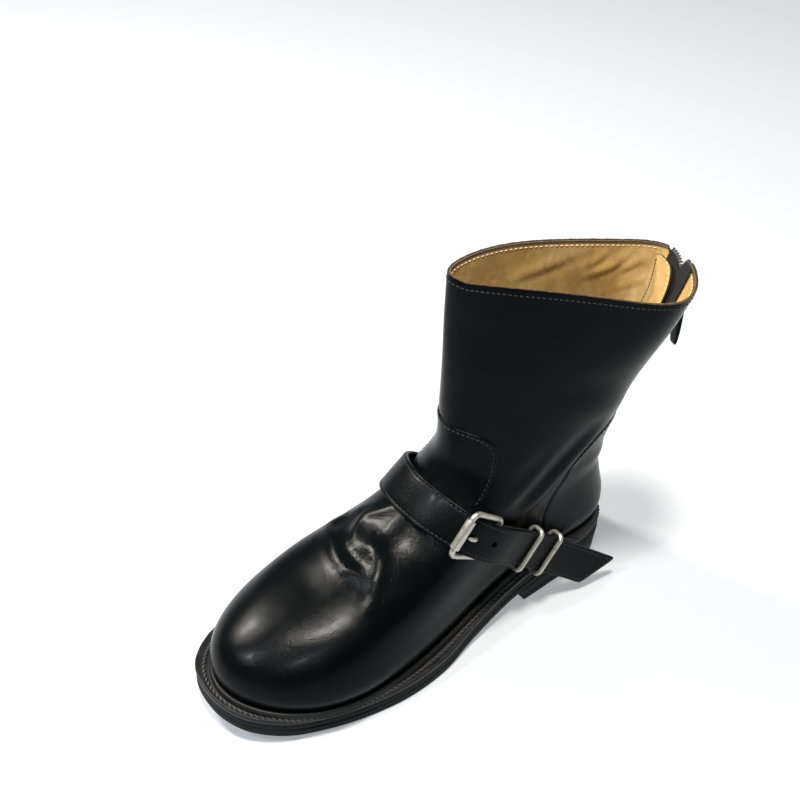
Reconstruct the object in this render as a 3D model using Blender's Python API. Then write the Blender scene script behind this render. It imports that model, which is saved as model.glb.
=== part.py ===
"""Buckled leather boot for the left foot, short shaft with a zip up the back.

Lengths are millimetres until a mesh is made, which is in metres.
Boot coordinates: x to the outer (buckle) side, s from the back of the heel to the toe, z up from the floor.
The scene's frame has its origin under the middle of the boot, +X to the outer side, -Y to the toe, +Z up.
"""

import math

import bmesh
import bpy
import numpy as np

METRES = 0.001
CLEAR = 0.3

# Where the scene's origin lies, in boot coordinates
CENTRE_X = 10.0
CENTRE_S = 144.2

# Sole: heights are measured down from the feather line, where the upper meets the welt
SOLE_LENGTH = 300.0
SOLE_COLUMNS, HEEL_COLUMNS, INSOLE_COLUMNS = 56, 13, 48
HEEL_SEAT = 33.0
BALL_HEIGHT = 18.5
TOE_SPRING = 11.5
ARCH_START, ARCH_END = 62.0, 172.0
SPRING_START = 212.0
WELT_FLAT = 4.0
WELT_FOOT = 8.2
MIDSOLE_TOP, MIDSOLE_FOOT = 8.5, 12.5
OUTSOLE_TOP, OUTSOLE_FOOT = 12.8, BALL_HEIGHT
HEEL_BREAST_TOP, HEEL_BREAST_FOOT = 90.0, 85.0
INSOLE_TOP, INSOLE_FOOT = 5.3, WELT_FOOT
MIDSOLE_INSET, OUTSOLE_INSET, HEEL_INSET, HEEL_TAPER = 0.5, 0.2, 0.4, 1.2
EDGE_BEVEL, FOOT_BEVEL = 0.5, 1.0

# Storm welt. Rib and groove: offset from the upper's ring at the rib's row, drop below the feather line
RIB_ROW = 0.36
RIB = ((0.4, 0.3), (1.7, -0.3), (2.9, 0.7), (3.3, 3.6), (4.0, 4.3))
# Outer edge: inset from the outline, drop below the feather line
WELT_EDGE = ((1.3, WELT_FLAT), (0.0, WELT_FLAT + 0.7), (0.3, WELT_FOOT))

# Sole outline, heel to toe: place along the boot, outer edge, inner edge
OUTLINE = np.array([
    (0.0, 0.0, 0.0),
    (7.0, 23.0, -23.0),
    (30.0, 35.0, -34.5),
    (65.0, 38.5, -36.0),
    (100.0, 41.0, -34.5),
    (135.0, 47.0, -37.0),
    (165.0, 55.0, -43.0),
    (195.0, 57.8, -50.5),
    (225.0, 54.5, -54.0),
    (250.0, 49.0, -52.0),
    (272.0, 41.5, -44.8),
    (289.0, 29.0, -32.0),
    (297.5, 14.5, -19.0),
    (300.0, -1.5, -1.5),
])

# Upper: one ring a row, from the feather line to the collar. A ring's back and front points, its half widths
# at four stations, how far it follows the sole's own curve, its twist in degrees and its sideways shift
BACK_S, BACK_Z, FRONT_S, FRONT_Z, WIDTHS, FOLLOW, TWIST, SHIFT = 0, 1, 2, 3, slice(4, 8), 8, 9, 10
RINGS = np.array([
    # back_s back_z front_s front_z heel waist ball toe follow twist shift
    (6.0, 28.0, 290.0, 22.9, 27.0, 31.0, 46.0, 37.0, 1.00, 0, 3),
    (3.5, 43.0, 293.5, 39.0, 32.0, 35.0, 51.5, 41.5, 1.00, 0, 3),
    (4.0, 55.0, 287.0, 53.0, 32.0, 34.5, 50.0, 39.0, 0.80, 0, 3),
    (7.0, 66.0, 267.0, 63.0, 31.5, 34.0, 46.5, 35.0, 0.55, 0, 3),
    (9.5, 76.0, 239.0, 70.0, 31.0, 33.5, 41.5, 31.0, 0.30, 0, 3),
    (11.5, 87.0, 208.0, 78.0, 30.5, 34.0, 37.5, 27.0, 0.15, 0, 3),
    (12.0, 98.0, 175.0, 90.0, 30.5, 34.5, 35.5, 24.0, 0.05, 1, 3.5),
    (12.5, 110.0, 145.5, 108.0, 29.5, 35.5, 35.0, 22.5, 0.0, 1.5, 4.5),
    (12.0, 127.0, 131.5, 131.0, 28.0, 35.0, 33.5, 21.0, 0.0, 6, 7.5),
    (9.0, 150.0, 130.0, 157.0, 26.5, 33.5, 32.5, 20.5, 0.0, 14, 10.5),
    (2.0, 178.0, 129.5, 184.0, 26.0, 32.5, 31.0, 19.0, 0.0, 21, 14.5),
    (-6.5, 208.0, 129.5, 212.0, 28.0, 32.0, 29.0, 17.0, 0.0, 27, 18),
    (-14.0, 236.0, 128.5, 240.0, 30.0, 32.0, 28.0, 16.0, 0.0, 31, 20),
])
STATIONS = np.array([0.12, 0.38, 0.68, 0.90])
COLLAR_ROW = len(RINGS) - 1.0
WALL = 2.4
UPPER_COLUMNS, UPPER_ROWS = 46, 25

# The collar's outer side rises in the middle and dips towards the zip, and its inner side rises in front
WAVE_HEIGHT, WAVE_START, WAVE_SPAN, WAVE_ROW = 4.5, 30.0, 150.0, 9.0
INNER_WAVE_HEIGHT, INNER_WAVE_START, INNER_WAVE_SPAN = 2.0, 5.0, 115.0

# Overlays on the upper
OVERLAY_LIFT, OVERLAY_THICK = 0.9, 0.9
TAB_ANGLE, TAB_LOW, TAB_TOP, TAB_CORNER = 50.0, 6.8, 8.70, 0.28
COUNTER_FOOT, COUNTER_ANGLE, COUNTER_LEAN = 0.55, 122.0, 12.0
COUNTER_TOP = np.array([  # angle from the toe, ring row of the counter's upper edge
    (110.0, 6.75), (113.0, 7.15), (122.0, 7.75), (145.0, 8.25), (180.0, 8.42),
])
COUNTER_COLUMNS, COUNTER_ROWS = 13, 12

# Strap: it lies across a plane that slopes up to the toe. Its frame has x, p up along the slope and w across
STRAP_SLOPE = math.atan(0.8)
STRAP_LEVEL = -13.6
STRAP_WIDTH, STRAP_THICK = 25.0, 2.8
WELT_CUT = 1.25
STRAP_PATH = np.array([  # x and p of the strap's inner face, inner side of the boot to the free tail
    (-31.0, 48.0), (-31.6, 70.0), (-31.9, 95.0), (-33.1, 116.0), (-35.6, 138.0), (-36.7, 154.0),
    (-34.6, 166.6), (-27.2, 176.8), (-15.5, 184.5), (0.8, 188.0), (17.2, 185.8), (29.8, 179.7),
    (38.4, 172.3), (42.9, 164.0), (45.9, 152.0), (46.4, 140.0), (45.0, 127.0), (43.5, 111.0),
    (43.5, 92.0), (44.8, 76.0), (48.0, 55.0), (53.5, 26.0),
])
STRAP_START, STRAP_TAIL_CUT = 71.0, 16.5
# Over the instep its upper edge leans in: by how much, where that starts up the slope and where it ends
STRAP_LEAN, LEAN_P, LEAN_RISE, LEAN_X, LEAN_FADE = 5.0, 135.0, 45.0, 40.0, 22.0
BUCKLE_STRAP_PATH = np.array([
    (37.6, 48.0), (38.8, 62.0), (40.2, 78.0), (40.4, 95.0), (40.4, 112.0), (41.0, 125.0), (41.8, 137.0),
    (42.5, 148.2),
])

# Buckle and keepers, in the strap's frame
WIRE = 3.4
ROLLER_X, ROLLER_P = 43.0, 177.0
REAR_BAR_X, REAR_BAR_P = 43.95, 151.0
FRAME_HALF, FRAME_CORNER = 15.2, 4.0
ROLLER_BORE, ROLLER_RADIUS, ROLLER_HALF = 2.0, 3.0, 10.0
PRONG_RADIUS = 1.3
PRONG_PATH = np.array([(44.0, 154.8), (44.5, 158.0), (45.7, 162.3), (46.8, 167.5), (46.6, 174.6)])
PRONG_SLOT = (153.0, 168.5)
# From this x on, the strap only falls towards its tail
DOWN_SIDE_X = 30.0
SLOT_HALF = 2.6
KEEPER_WIRE = 2.6
KEEPER_INNER_X, KEEPER_OUTER_X, KEEPER_HALF, KEEPER_CORNER = 38.75, 47.95, 15.0, 2.6
KEEPERS = (("keeper_front", 109.5), ("keeper_rear", 87.0))

# Zip up the back, leaning to the inner side towards the collar
ZIP_LOW, ZIP_CLOSED, ZIP_LEAN = 8.62, 8.80, 10.0
SLIT_HALF, SLIT_FLARE = 3.3, 2.2
TAPE_HALF, TAPE_THICK, TAPE_CLEAR = 13.0, 1.0, 0.5
TAPE_ROWS = (ZIP_LOW - 0.25, COLLAR_ROW - 0.04)
GUARD_HALF, GUARD_THICK, GUARD_ROUND = 16.0, 1.2, 0.35
GUARD_ROWS = (ZIP_LOW - 0.45, COLLAR_ROW - 0.10)
TEETH_HALF, TEETH_NOTCH, TEETH_COUNT = 2.7, 0.7, 40
SLIDER_LOW, SLIDER_TOP, SLIDER_HALF, SLIDER_THICK, SLIDER_WAIST = 11.30, 11.72, 3.9, 2.2, 0.78
TEETH_ROWS = (ZIP_CLOSED + 0.10, SLIDER_TOP - 0.05)
BAIL_HALF, BAIL_WIRE, BAIL_LIFT, BAIL_LEG = 3.6, 1.6, 6.3, 0.6
PULL_LIFT = 4.1
PULL_THICK = 1.8
PULL_SHAPE = np.array([  # distance below the bail's bar, half width; the hole is between the second and third
    (-1.0, 3.0), (1.0, 3.0), (6.2, 3.0), (10.0, 3.6), (20.0, 4.4), (32.0, 4.4), (41.0, 3.6), (46.0, 2.2),
])
PULL_COLUMNS = np.array([-1.0, -0.57, 0.57, 1.0])

BLACK_LEATHER = ("black_leather", (0.012, 0.012, 0.013), 0.36, 0.0)
SOLE_RUBBER = ("sole_rubber", (0.014, 0.014, 0.015), 0.62, 0.0)
WELT_LEATHER = ("welt_leather", (0.016, 0.015, 0.015), 0.50, 0.0)
TAN_LEATHER = ("tan_leather", (0.42, 0.25, 0.12), 0.60, 0.0)
NICKEL = ("brushed_nickel", (0.55, 0.53, 0.49), 0.30, 1.0)
ZIP_CLOTH = ("zip_cloth", (0.010, 0.010, 0.011), 0.85, 0.0)
ZIP_METAL = ("zip_metal", (0.20, 0.19, 0.18), 0.35, 1.0)


def clear_scene():
    for old in list(bpy.data.objects):
        bpy.data.objects.remove(old, do_unlink=True)


def material(finish):
    name, colour, roughness, metallic = finish
    made = bpy.data.materials.get(name)
    if made is None:
        made = bpy.data.materials.new(name)
        made.use_nodes = True
        shader = made.node_tree.nodes["Principled BSDF"]
        shader.inputs["Base Color"].default_value = (*colour, 1.0)
        shader.inputs["Roughness"].default_value = roughness
        shader.inputs["Metallic"].default_value = metallic
    return made


def to_frame(points):
    """Boot coordinates (x, s, z) in millimetres to the scene's frame in metres."""
    x, s, z = np.moveaxis(np.asarray(points, float), -1, 0)
    return np.stack([x - CENTRE_X, CENTRE_S - s, z], -1) * METRES


def add_solid(name, points, faces, finish, origin=(0.0, 0.0, 0.0)):
    """A closed mesh object from boot points and faces, with its object origin at a place in the frame."""
    mesh = bpy.data.meshes.new(name)
    placed = to_frame(points) - np.asarray(origin)
    mesh.from_pydata(placed.tolist(), [], [list(face) for face in faces])
    shape = bmesh.new()
    shape.from_mesh(mesh)
    bmesh.ops.recalc_face_normals(shape, faces=shape.faces)
    shape.to_mesh(mesh)
    shape.free()
    mesh.shade_smooth()
    mesh.set_sharp_from_angle(angle=math.radians(40))
    mesh.materials.append(material(finish))
    made = bpy.data.objects.new(name, mesh)
    made.location = origin
    bpy.context.scene.collection.objects.link(made)
    return made


def smooth(value, low, high):
    """0 below low, 1 above high, with a smooth S between."""
    share = np.clip((value - low) / (high - low), 0, 1)
    return share * share * (3 - 2 * share)


def through(table, at):
    """A smooth curve (Catmull-Rom) through a table's rows, read at real row numbers."""
    last = len(table) - 1
    at = np.clip(at, 0, last - 1e-9)
    row = np.floor(at).astype(int)
    f = (at - row)[:, None]
    ends = np.vstack([2 * table[0] - table[1], table, 2 * table[-1] - table[-2]])
    a, b, c, d = ends[row], ends[row + 1], ends[row + 2], ends[row + 3]
    return 0.5 * (2 * b + (c - a) * f + (2 * a - 5 * b + 4 * c - d) * f**2 + (3 * b - a - 3 * c + d) * f**3)


def feather(s):
    """Height of the feather line: level at the heel, down through the arch, then the toe spring."""
    toe = np.clip((s - SPRING_START) / (SOLE_LENGTH - SPRING_START), 0, 1)
    drop = smooth(s, ARCH_START, ARCH_END)
    return HEEL_SEAT + (BALL_HEIGHT - HEEL_SEAT) * drop + TOE_SPRING * toe**2


def outline_edge(theta):
    """(x, s) of the sole's outline: the table's outer or inner edge as a smooth curve, read at the angle
    whose cosine gives the place along the boot (0 at the toe, positive on the outer side)."""
    rows = np.linspace(1, len(OUTLINE), 600)
    turned = (theta + math.pi) % (2 * math.pi) - math.pi
    edges = []
    for own, other in ((1, 2), (2, 1)):
        before, after = OUTLINE[1, [0, other]], OUTLINE[-2, [0, other]]
        curve = through(np.vstack([before, OUTLINE[:, [0, own]], after]), rows)
        angle = np.arccos(np.clip(2 * curve[:, 0] / SOLE_LENGTH - 1, -1, 1))
        edges.append(np.interp(np.abs(turned), angle[::-1], curve[::-1, 1]))
    x = np.where(turned >= 0, edges[0], edges[1])
    return np.stack([x, SOLE_LENGTH * (1 + np.cos(theta)) / 2], -1)


def outline(theta, inset):
    """The sole's outline moved inwards, at right angles to itself."""
    ahead, behind = outline_edge(theta + 0.02), outline_edge(theta - 0.02)
    along = ahead - behind
    along /= np.linalg.norm(along, axis=-1, keepdims=True)
    inwards = np.stack([along[:, 1], -along[:, 0]], -1)
    return outline_edge(theta) + inset * inwards


def last_surface(theta, row):
    """The upper's outer surface, (x, s, z) on a grid of ring rows and angles.

    A ring runs from its back point to its front point; q = (1 + cos theta) / 2 is the share of the way. Its
    half width is sin theta times the cubic through the widths at the four stations, and its height blends
    from the sole's curve at the welt to the straight line between its ends higher up.
    """
    theta, row = np.broadcast_arrays(theta, row)
    ring = through(RINGS, row.ravel()).reshape(*row.shape, -1)
    q = (1 + np.cos(theta)) / 2
    half = np.zeros_like(q)
    for i, station in enumerate(STATIONS):
        others = np.delete(STATIONS, i)
        weight = np.prod([(q - other) / (station - other) for other in others], axis=0)
        half += weight * ring[..., WIDTHS][..., i] / (2 * math.sqrt(station * (1 - station)))
    x = half * np.sin(theta)
    back_s, front_s, back_z, front_z = (ring[..., c] for c in (BACK_S, FRONT_S, BACK_Z, FRONT_Z))
    s = back_s + (front_s - back_s) * q
    straight = back_z + (front_z - back_z) * q
    curved = feather(s) + (back_z - feather(back_s)) * (1 - q) + (front_z - feather(front_s)) * q
    z = ring[..., FOLLOW] * curved + (1 - ring[..., FOLLOW]) * straight
    share = np.clip((np.degrees(theta) - WAVE_START) / WAVE_SPAN, 0, 1)
    rise = np.clip((row - WAVE_ROW) / (COLLAR_ROW - WAVE_ROW), 0, 1) ** 2
    inner_share = np.clip((-np.degrees(theta) - INNER_WAVE_START) / INNER_WAVE_SPAN, 0, 1)
    wave = WAVE_HEIGHT * np.sin(2 * math.pi * share) + INNER_WAVE_HEIGHT * np.sin(math.pi * inner_share)
    z = z + wave * rise
    turn, middle = np.radians(ring[..., TWIST]), (back_s + front_s) / 2
    across = x * np.cos(turn) - (s - middle) * np.sin(turn) + ring[..., SHIFT]
    ahead = middle + (s - middle) * np.cos(turn) + x * np.sin(turn)
    return np.stack([across, ahead, z], -1)


def on_last(theta, row, lift):
    """Points of the upper's surface moved out along its normal, or in where the lift is below 0."""
    theta, row = np.broadcast_arrays(np.asarray(theta, float), np.asarray(row, float))
    wrapped = (theta + math.pi) % (2 * math.pi) - math.pi
    point = last_surface(wrapped, row)
    low, high = np.clip(row - 0.03, 0, COLLAR_ROW), np.clip(row + 0.03, 0, COLLAR_ROW)
    up = last_surface(wrapped, high) - last_surface(wrapped, low)
    around = last_surface(np.clip(wrapped + 0.02, -math.pi, math.pi), row)
    around = around - last_surface(np.clip(wrapped - 0.02, -math.pi, math.pi), row)
    normal = np.cross(up, around)
    normal /= np.linalg.norm(normal, axis=-1, keepdims=True)
    return point + np.asarray(lift)[..., None] * normal


def back_angle(row, offset):
    """The angle, measured on from the middle of the back, that lies offset millimetres along the ring."""
    turn = 0.05
    middle, beside = (last_surface(np.full_like(row, angle), row) for angle in (math.pi, math.pi - turn))
    return offset * turn / np.linalg.norm(beside - middle, axis=-1)


def zip_middle(row):
    """The angle of the zip's middle line: at the back at its foot, ZIP_LEAN mm round at the collar."""
    share = np.clip((row - ZIP_LOW) / (COLLAR_ROW - ZIP_LOW), 0, 1)
    return math.pi + back_angle(row, ZIP_LEAN * share)


def shell(outer, inner, index=None, skip=()):
    """Points and faces of the closed wall between two grids of the same shape. The index grid says which
    points are shared (a closed ring repeats its first column), and the cells named in skip are left open."""
    rows, columns = outer.shape[:2]
    if index is None:
        index = np.arange(rows * columns).reshape(rows, columns)
    count = rows * columns
    points = np.concatenate([outer.reshape(-1, 3), inner.reshape(-1, 3)])
    faces, edges = [], {}
    for r in range(rows - 1):
        for c in range(columns - 1):
            if (r, c) in skip:
                continue
            cell = [int(index[r, c]), int(index[r, c + 1]), int(index[r + 1, c + 1]), int(index[r + 1, c])]
            faces.append(cell)
            faces.append([count + i for i in reversed(cell)])
            for a, b in zip(cell, cell[1:] + cell[:1]):
                edges[(a, b)] = True
    for a, b in edges:
        if (b, a) not in edges:
            faces.append([b, a, count + a, count + b])
    used = sorted({i for face in faces for i in face})
    place = {old: new for new, old in enumerate(used)}
    return points[used], [[place[i] for i in face] for face in faces]


def rings_solid(rings, ladder_caps=True):
    """Points and faces of a solid skinned over rings of equal length. With ladder caps each end is closed by
    rungs between the two sides of its ring, counted from point 0; without, the last ring joins the first."""
    rings = np.asarray(rings)
    levels, size = rings.shape[:2]
    faces = []
    for level in range(levels if not ladder_caps else levels - 1):
        a, b = level * size, (level + 1) % levels * size
        for k in range(size):
            n = (k + 1) % size
            faces.append([a + k, a + n, b + n, b + k])
    if ladder_caps:
        for start in (0, (levels - 1) * size):
            for k in range(size // 2):
                rung = [k, k + 1, size - k - 1, (size - k) % size]
                faces.append([start + i for i in dict.fromkeys(rung)])
    return rings.reshape(-1, 3), faces


def sole_ring(theta, inset, drop):
    """A ring of the sole's side: the outline at each angle, at a depth below the feather line."""
    flat = outline(theta, inset)
    return np.column_stack([flat, feather(flat[:, 1]) - drop])


def around_heel(count):
    """Angles all the way round, starting at the back of the heel."""
    return math.pi - 2 * math.pi * np.arange(count) / count


def make_sole():
    """Midsole and outsole: slabs under the welt, with a small bevel at each edge."""
    theta = around_heel(SOLE_COLUMNS)
    layers = (
        ("midsole", MIDSOLE_INSET, MIDSOLE_FOOT, MIDSOLE_TOP, EDGE_BEVEL),
        ("outsole", OUTSOLE_INSET, OUTSOLE_FOOT, OUTSOLE_TOP, FOOT_BEVEL),
    )
    for name, inset, foot, top, bevel in layers:
        sides = (
            (inset + bevel, foot),
            (inset, foot - bevel),
            (inset, top + EDGE_BEVEL),
            (inset + EDGE_BEVEL, top),
        )
        points, faces = rings_solid([sole_ring(theta, *side) for side in sides])
        add_solid(name, points, faces, SOLE_RUBBER)


def make_heel():
    """The heel block: the outline as far as the breast, tapering a little to a flat foot."""
    sides = (
        (0.0, HEEL_INSET + HEEL_TAPER + FOOT_BEVEL, HEEL_BREAST_FOOT),
        (FOOT_BEVEL, HEEL_INSET + HEEL_TAPER, HEEL_BREAST_FOOT),
        (None, HEEL_INSET, HEEL_BREAST_TOP),
    )
    rings = []
    for height, inset, breast in sides:
        stop = math.acos(2 * breast / SOLE_LENGTH - 1)
        outer = np.linspace(math.pi, stop, HEEL_COLUMNS)
        flat = np.vstack([outline(outer, inset), outline(-outer[:0:-1], inset)])
        z = feather(flat[:, 1]) - OUTSOLE_FOOT - CLEAR if height is None else np.full(len(flat), height)
        rings.append(np.column_stack([flat, z]))
    points, faces = rings_solid(rings)
    add_solid("heel", points, faces, SOLE_RUBBER)


def beside_upper(theta, row, offset):
    """The upper's ring at one row, moved out level by an offset, as (x, s)."""
    ring = last_surface(theta, np.full_like(theta, row))[:, :2]
    along = np.roll(ring, -1, axis=0) - np.roll(ring, 1, axis=0)
    along /= np.linalg.norm(along, axis=1, keepdims=True)
    return ring + offset * np.stack([along[:, 1], -along[:, 0]], -1)


def make_welt():
    """The storm welt: a raised rib against the upper, a stitch groove and a flat edge, all the way round."""
    theta = around_heel(SOLE_COLUMNS)
    wrapped = (theta + math.pi) % (2 * math.pi) - math.pi
    profile = [(beside_upper(wrapped, 0.0, RIB[0][0]), WELT_FOOT)]
    profile += [(beside_upper(wrapped, RIB_ROW, offset), drop) for offset, drop in RIB]
    profile += [(outline(theta, inset), drop) for inset, drop in WELT_EDGE]
    rings = [np.column_stack([flat, feather(flat[:, 1]) - drop]) for flat, drop in profile]
    points, faces = rings_solid(rings, ladder_caps=False)
    add_solid("welt", points, faces, WELT_LEATHER)


def make_insole():
    """The insole board, inside the welt and under the upper's lower edge."""
    theta = around_heel(INSOLE_COLUMNS)
    wrapped = (theta + math.pi) % (2 * math.pi) - math.pi
    flat = beside_upper(wrapped, 0.0, -CLEAR)
    rings = [np.column_stack([flat, feather(flat[:, 1]) - drop]) for drop in (INSOLE_FOOT, INSOLE_TOP)]
    points, faces = rings_solid(rings)
    add_solid("insole", points, faces, TAN_LEATHER)


def make_upper():
    """One leather wall from the feather line to the collar, slit at the back for the zip."""
    low = np.linspace(0, ZIP_LOW, UPPER_ROWS - 8)
    rows = np.concatenate([low, np.linspace(ZIP_CLOSED, COLLAR_ROW, 8)])
    open_share = np.clip((rows - ZIP_LOW) / (COLLAR_ROW - ZIP_LOW), 0, 1)
    half_gap = np.where(rows > ZIP_LOW, SLIT_HALF + SLIT_FLARE * open_share**2, 0)
    reach = math.pi - back_angle(rows, half_gap)
    theta = np.linspace(-1, 1, UPPER_COLUMNS + 1) * reach[:, None] + zip_middle(rows)[:, None] - math.pi
    row = np.broadcast_to(rows[:, None], theta.shape)
    index = np.arange(theta.size).reshape(theta.shape)
    closed = rows <= ZIP_LOW
    index[closed, -1] = index[closed, 0]
    points, faces = shell(on_last(theta, row, 0.0), on_last(theta, row, -WALL), index)
    add_solid("upper", points, faces, BLACK_LEATHER)


def patch(name, theta, row, low, high, finish):
    """A thin piece cut from the space between two forms, low and high above the upper's surface."""
    points, faces = shell(on_last(theta, row, high), on_last(theta, row, low))
    add_solid(name, points, faces, finish)


def make_overlays():
    """The vamp's tab on the front of the shaft, and the counter around the heel."""
    high = OVERLAY_LIFT + OVERLAY_THICK
    across, up = np.meshgrid(np.linspace(-1, 1, 17), np.linspace(0, 1, 8))
    top = TAB_TOP - TAB_CORNER * np.abs(across) ** 8
    theta, row = np.radians(TAB_ANGLE) * across, TAB_LOW + (top - TAB_LOW) * up
    patch("vamp_tab", theta, row, OVERLAY_LIFT, high, BLACK_LEATHER)
    up = np.linspace(0, 1, COUNTER_ROWS)[:, None]
    front = COUNTER_ANGLE - COUNTER_LEAN * up**1.5
    outer_side = front + (180 - front) * np.linspace(0, 1, COUNTER_COLUMNS)
    angle = np.hstack([outer_side, 360 - outer_side[:, -2::-1]])
    top = np.interp(180 - np.abs(180 - angle), COUNTER_TOP[:, 0], COUNTER_TOP[:, 1])
    row = COUNTER_FOOT + (top - COUNTER_FOOT) * up
    patch("heel_counter", np.radians(angle), row, OVERLAY_LIFT, high, BLACK_LEATHER)


def from_strap(x, p, w):
    """Strap coordinates to boot coordinates."""
    x, p, n = np.broadcast_arrays(x, p, STRAP_LEVEL + np.asarray(w, float))
    cos, sin = math.cos(STRAP_SLOPE), math.sin(STRAP_SLOPE)
    return np.stack([x, p * cos - n * sin, p * sin + n * cos], -1)


def dense_path(table):
    """The smooth path through a table as close points, and the length run at each."""
    points = through(table, np.linspace(0, len(table) - 1, 1200))
    run = np.concatenate([[0], np.cumsum(np.linalg.norm(np.diff(points, axis=0), axis=1))])
    return points, run


def band(table, across, begin, end, share, facing):
    """Outer and inner grids of a strap along a path. Rows are shares of the way from begin to end, two
    lengths for each column; columns are distances across its width. facing is the side it thickens to."""
    points, run = dense_path(table)
    tangent = np.gradient(points, run, axis=0)
    lengths = begin + (end - begin) * share[:, None]
    x, p, along_x, along_p = (np.interp(lengths, run, column) for column in (*points.T, *tangent.T))
    share = np.clip((p - LEAN_P) / LEAN_RISE, 0, 1) * np.clip((LEAN_X - x) / LEAN_FADE, 0, 1)
    lean = STRAP_LEAN * share * (across / STRAP_WIDTH + 0.5)
    grids = []
    for lift in (STRAP_THICK - lean, -lean):
        grids.append(from_strap(x - facing * lift * along_p, p + facing * lift * along_x, across))
    return grids


def make_instep_strap():
    """The long strap: sewn in at the inner side of the welt, over the instep, through the buckle to its tail.
    The prong comes up through a slot in it."""
    across = np.array([-STRAP_WIDTH / 2, -SLOT_HALF, SLOT_HALF, STRAP_WIDTH / 2])
    points, run = dense_path(STRAP_PATH)
    begin = STRAP_START - WELT_CUT * across - STRAP_PATH[0, 1]
    end = run[-1] - STRAP_TAIL_CUT * (0.5 - across / STRAP_WIDTH)
    back_to_front = np.flatnonzero(points[:, 0] > DOWN_SIDE_X)[::-1]
    slot = np.interp(PRONG_SLOT, points[back_to_front, 1], run[back_to_front])
    slot_share = np.sort((slot - begin.mean()) / (end.mean() - begin.mean()))
    share = np.linspace(0, 1, 50)
    clear_of_slot = (share < slot_share[0] - 0.004) | (share > slot_share[1] + 0.004)
    share = np.sort(np.concatenate([share[clear_of_slot], slot_share, [slot_share.mean()]]))
    first = int(np.argmin(np.abs(share - slot_share[0])))
    outer, inner = band(STRAP_PATH, across, begin, end, share, 1)
    points, faces = shell(outer, inner, skip={(first, 1), (first + 1, 1)})
    add_solid("instep_strap", points, faces, BLACK_LEATHER)


def make_buckle_strap():
    """The short strap from the outer side of the welt to the buckle's rear bar."""
    across = np.array([-0.5, 0.0, 0.5]) * STRAP_WIDTH
    run = dense_path(BUCKLE_STRAP_PATH)[1]
    begin = STRAP_START - WELT_CUT * across - BUCKLE_STRAP_PATH[0, 1]
    outer, inner = band(BUCKLE_STRAP_PATH, across, begin, np.full(3, run[-1]), np.linspace(0, 1, 16), -1)
    points, faces = shell(outer, inner)
    add_solid("buckle_strap", points, faces, BLACK_LEATHER)


def tube(path, radius, sides, closed):
    """Points and faces of a round wire along a path of boot points: rings of equal points about each place,
    joined end to end when the path is closed, capped when it isn't."""
    path = np.asarray(path, float)
    if closed:
        along = np.roll(path, -1, axis=0) - np.roll(path, 1, axis=0)
    else:
        along = np.gradient(path, axis=0)
    along /= np.linalg.norm(along, axis=1, keepdims=True)
    flat = np.linalg.svd(path - path.mean(axis=0))[2][2]
    side = np.cross(along, flat)
    side /= np.linalg.norm(side, axis=1, keepdims=True)
    turn = 2 * math.pi * np.arange(sides) / sides
    cos, sin = np.cos(turn)[None, :, None], np.sin(turn)[None, :, None]
    ring = cos * side[:, None] + sin * np.cross(side, along)[:, None]
    return rings_solid(path[:, None] + radius * ring, ladder_caps=not closed)


def rounded_loop(half_a, half_b, corner, steps=4):
    """(a, b) around a rectangle with round corners, centred on 0."""
    turn = np.linspace(0, math.pi / 2, steps + 1)
    found = []
    for k, (sign_a, sign_b) in enumerate(((1, 1), (-1, 1), (-1, -1), (1, -1))):
        angle = turn + k * math.pi / 2
        centre = np.array([sign_a * (half_a - corner), sign_b * (half_b - corner)])
        found.append(centre + corner * np.stack([np.cos(angle), np.sin(angle)], -1))
    return np.vstack(found)


def make_buckle():
    """Frame, roller and prong. The frame's front bar lies over the strap and its rear bar under the tail."""
    front, rear = np.array([ROLLER_X, ROLLER_P]), np.array([REAR_BAR_X, REAR_BAR_P])
    middle, reach = (front + rear) / 2, np.linalg.norm(front - rear) / 2
    leg = (front - rear) / (2 * reach)
    loop = rounded_loop(reach, FRAME_HALF, FRAME_CORNER)
    flat = middle + loop[:, :1] * leg
    points, faces = tube(from_strap(flat[:, 0], flat[:, 1], loop[:, 1]), WIRE / 2, 8, closed=True)
    add_solid("buckle_frame", points, faces, NICKEL)
    turn = 2 * math.pi * np.arange(14) / 14
    rings = []
    for radius, w in ((ROLLER_BORE, -1), (ROLLER_RADIUS, -1), (ROLLER_RADIUS, 1), (ROLLER_BORE, 1)):
        x, p = ROLLER_X + radius * np.cos(turn), ROLLER_P + radius * np.sin(turn)
        rings.append(from_strap(x, p, w * ROLLER_HALF))
    points, faces = rings_solid(rings, ladder_caps=False)
    add_solid("buckle_roller", points, faces, NICKEL)
    bend = through(PRONG_PATH, np.linspace(0, len(PRONG_PATH) - 1, 11))
    points, faces = tube(from_strap(bend[:, 0], bend[:, 1], 0.0), PRONG_RADIUS, 8, closed=False)
    add_solid("buckle_prong", points, faces, NICKEL)


def make_keepers():
    """Two wire loops that hold the strap's tail to the short strap."""
    middle, reach = (KEEPER_OUTER_X + KEEPER_INNER_X) / 2, (KEEPER_OUTER_X - KEEPER_INNER_X) / 2
    for name, p in KEEPERS:
        loop = rounded_loop(reach, KEEPER_HALF, KEEPER_CORNER)
        points, faces = tube(from_strap(middle + loop[:, 0], p, loop[:, 1]), KEEPER_WIRE / 2, 8, closed=True)
        add_solid(name, points, faces, NICKEL)


def back_patch(name, rows, offsets, low, high, finish):
    """A thin piece behind or over the slit: columns at offsets in millimetres from the zip's middle line."""
    rows = np.broadcast_to(rows[:, None], offsets.shape)
    theta = zip_middle(rows) + back_angle(rows, 1.0) * offsets
    patch(name, theta, rows, low, high, finish)


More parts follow.
